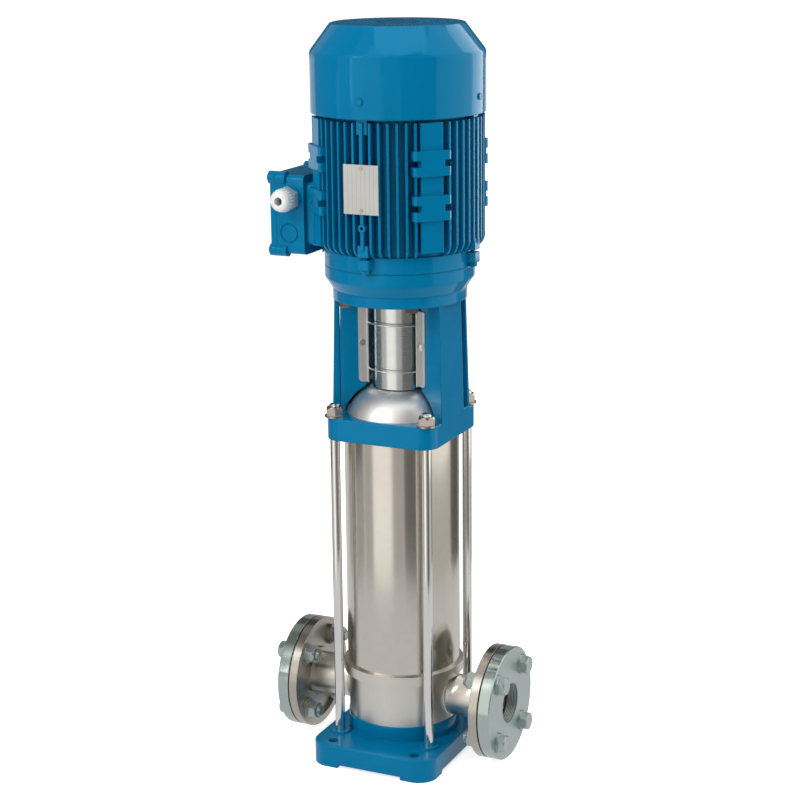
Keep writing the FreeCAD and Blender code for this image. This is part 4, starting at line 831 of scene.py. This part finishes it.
def build_world():
    """White to the camera, a soft grey in reflections, and the fill light for the rest."""
    world = bpy.data.worlds.new("studio")
    world.use_nodes = True
    tree = world.node_tree
    fill = tree.nodes["Background"]
    fill.inputs["Strength"].default_value = WORLD_FILL
    shown = tree.nodes.new("ShaderNodeBackground")
    mirrored = tree.nodes.new("ShaderNodeBackground")
    mirrored.inputs["Strength"].default_value = WORLD_IN_METAL
    for node in (fill, shown, mirrored):
        node.inputs["Color"].default_value = (1, 1, 1, 1)
    path = tree.nodes.new("ShaderNodeLightPath")
    first = tree.nodes.new("ShaderNodeMixShader")
    tree.links.new(path.outputs["Is Glossy Ray"], first.inputs["Fac"])
    tree.links.new(fill.outputs[0], first.inputs[1])
    tree.links.new(mirrored.outputs[0], first.inputs[2])
    second = tree.nodes.new("ShaderNodeMixShader")
    seen = math_node(tree, "MAXIMUM", path.outputs["Is Camera Ray"], path.outputs["Is Transmission Ray"])
    tree.links.new(seen, second.inputs["Fac"])
    tree.links.new(first.outputs[0], second.inputs[1])
    tree.links.new(shown.outputs[0], second.inputs[2])
    tree.links.new(second.outputs[0], tree.nodes["World Output"].inputs["Surface"])
    bpy.context.scene.world = world


def build_cards():
    """Cards that only reflections see: they give the steel its light and dark upright bands."""
    for name, angle, distance, width, bottom, top, light in CARDS:
        place = camera_direction(CAMERA_AZIMUTH + math.radians(angle)) * distance
        deselect_all()
        bpy.ops.mesh.primitive_plane_add(size=1.0, location=(place.x, place.y, (bottom + top) / 2))
        card = bpy.context.object
        card.name = name
        card.scale = (width, top - bottom, 1.0)
        card.rotation_euler = (math.pi / 2, 0, CAMERA_AZIMUTH + math.radians(angle))
        material, tree, shader = blank_material(name)
        glow = tree.nodes.new("ShaderNodeEmission")
        glow.inputs["Color"].default_value = CARD_LIGHT
        glow.inputs["Strength"].default_value = light
        tree.links.new(glow.outputs[0], tree.nodes["Material Output"].inputs["Surface"])
        card.data.materials.append(material)
        card.visible_camera = False
        card.visible_diffuse = False
        card.visible_transmission = False
        card.visible_shadow = False


def area_lamp(name, place, width, height, power):
    """A rectangular lamp at a place, turned to the pump's middle."""
    deselect_all()
    bpy.ops.object.light_add(type="AREA", location=place)
    lamp = bpy.context.object
    lamp.name = name
    lamp.data.shape = "RECTANGLE"
    lamp.data.size = width
    lamp.data.size_y = height
    lamp.data.energy = power
    lamp.rotation_euler = (Vector(LAMP_TARGET) - Vector(place)).to_track_quat("-Z", "Y").to_euler()
    return lamp


def camera_direction(angle):
    """Unit vector on the floor at an angle from the front, towards +X."""
    return Vector((math.sin(angle), -math.cos(angle), 0))


def build_lamps():
    """Soft panels round the pump, by the rows of LAMPS."""
    for name, angle, distance, height, width, tall, power, mirrored in LAMPS:
        place = camera_direction(CAMERA_AZIMUTH + math.radians(angle)) * distance
        place.z = height
        lamp = area_lamp(name, place, width, tall, power)
        lamp.visible_glossy = mirrored


def build_camera():
    """The camera that the photograph was taken from, with its small roll."""
    bpy.ops.object.camera_add()
    camera = bpy.context.object
    camera.name = "pump_camera"
    camera.data.sensor_width = CAMERA_SENSOR
    camera.data.lens = CAMERA_LENS
    place = camera_direction(CAMERA_AZIMUTH) * CAMERA_DISTANCE + Vector((0, 0, CAMERA_HEIGHT))
    ahead = Vector((math.cos(CAMERA_AZIMUTH), math.sin(CAMERA_AZIMUTH), 0))
    aim = ahead * AIM_RIGHT + Vector((0, 0, AIM_HEIGHT))
    forward = (aim - place).normalized()
    right = forward.cross(Vector((0, 0, 1))).normalized()
    up = right.cross(forward)
    rolled_right = right * math.cos(CAMERA_ROLL) + up * math.sin(CAMERA_ROLL)
    rolled_up = up * math.cos(CAMERA_ROLL) - right * math.sin(CAMERA_ROLL)
    turn = Matrix((rolled_right, rolled_up, -forward)).transposed().to_4x4()
    camera.matrix_world = Matrix.Translation(place) @ turn
    bpy.context.scene.camera = camera


class PUMP_PT_panel(bpy.types.Panel):
    """Sidebar list of the pump's operators and settings"""
    bl_label = "Pump"
    bl_idname = "PUMP_PT_panel"
    bl_space_type = "VIEW_3D"
    bl_region_type = "UI"
    bl_category = "Pump"

    def draw(self, context):
        layout = self.layout
        for operator in OPERATORS:
            layout.operator(operator.bl_idname)
        for settings in (context.scene.pump_sizes, context.scene.pump_colours):
            for name in settings.bl_rna.properties.keys():
                if name not in ("rna_type", "name"):
                    layout.prop(settings, name)


OPERATORS = (
    PUMP_OT_finishes,
    PUMP_OT_port_threads,
    PUMP_OT_fan_cover,
    PUMP_OT_intake_mesh,
    PUMP_OT_screw_ends,
    PUMP_OT_gland_ribs,
    PUMP_OT_studio,
)
CLASSES = (PumpSizes, PumpColours) + OPERATORS + (PUMP_PT_panel,)


def register():
    """Registers the classes and the scene's settings."""
    for cls in CLASSES:
        bpy.utils.register_class(cls)
    bpy.types.Scene.pump_sizes = bpy.props.PointerProperty(type=PumpSizes)
    bpy.types.Scene.pump_colours = bpy.props.PointerProperty(type=PumpColours)


def unregister():
    """Takes the settings and the classes out again."""
    del bpy.types.Scene.pump_colours
    del bpy.types.Scene.pump_sizes
    for cls in reversed(CLASSES):
        bpy.utils.unregister_class(cls)


def main():
    """Registers the add-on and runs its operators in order."""
    register()
    for operator in OPERATORS:
        category, name = operator.bl_idname.split(".")
        getattr(getattr(bpy.ops, category), name)()


if __name__ == "__main__":
    main()
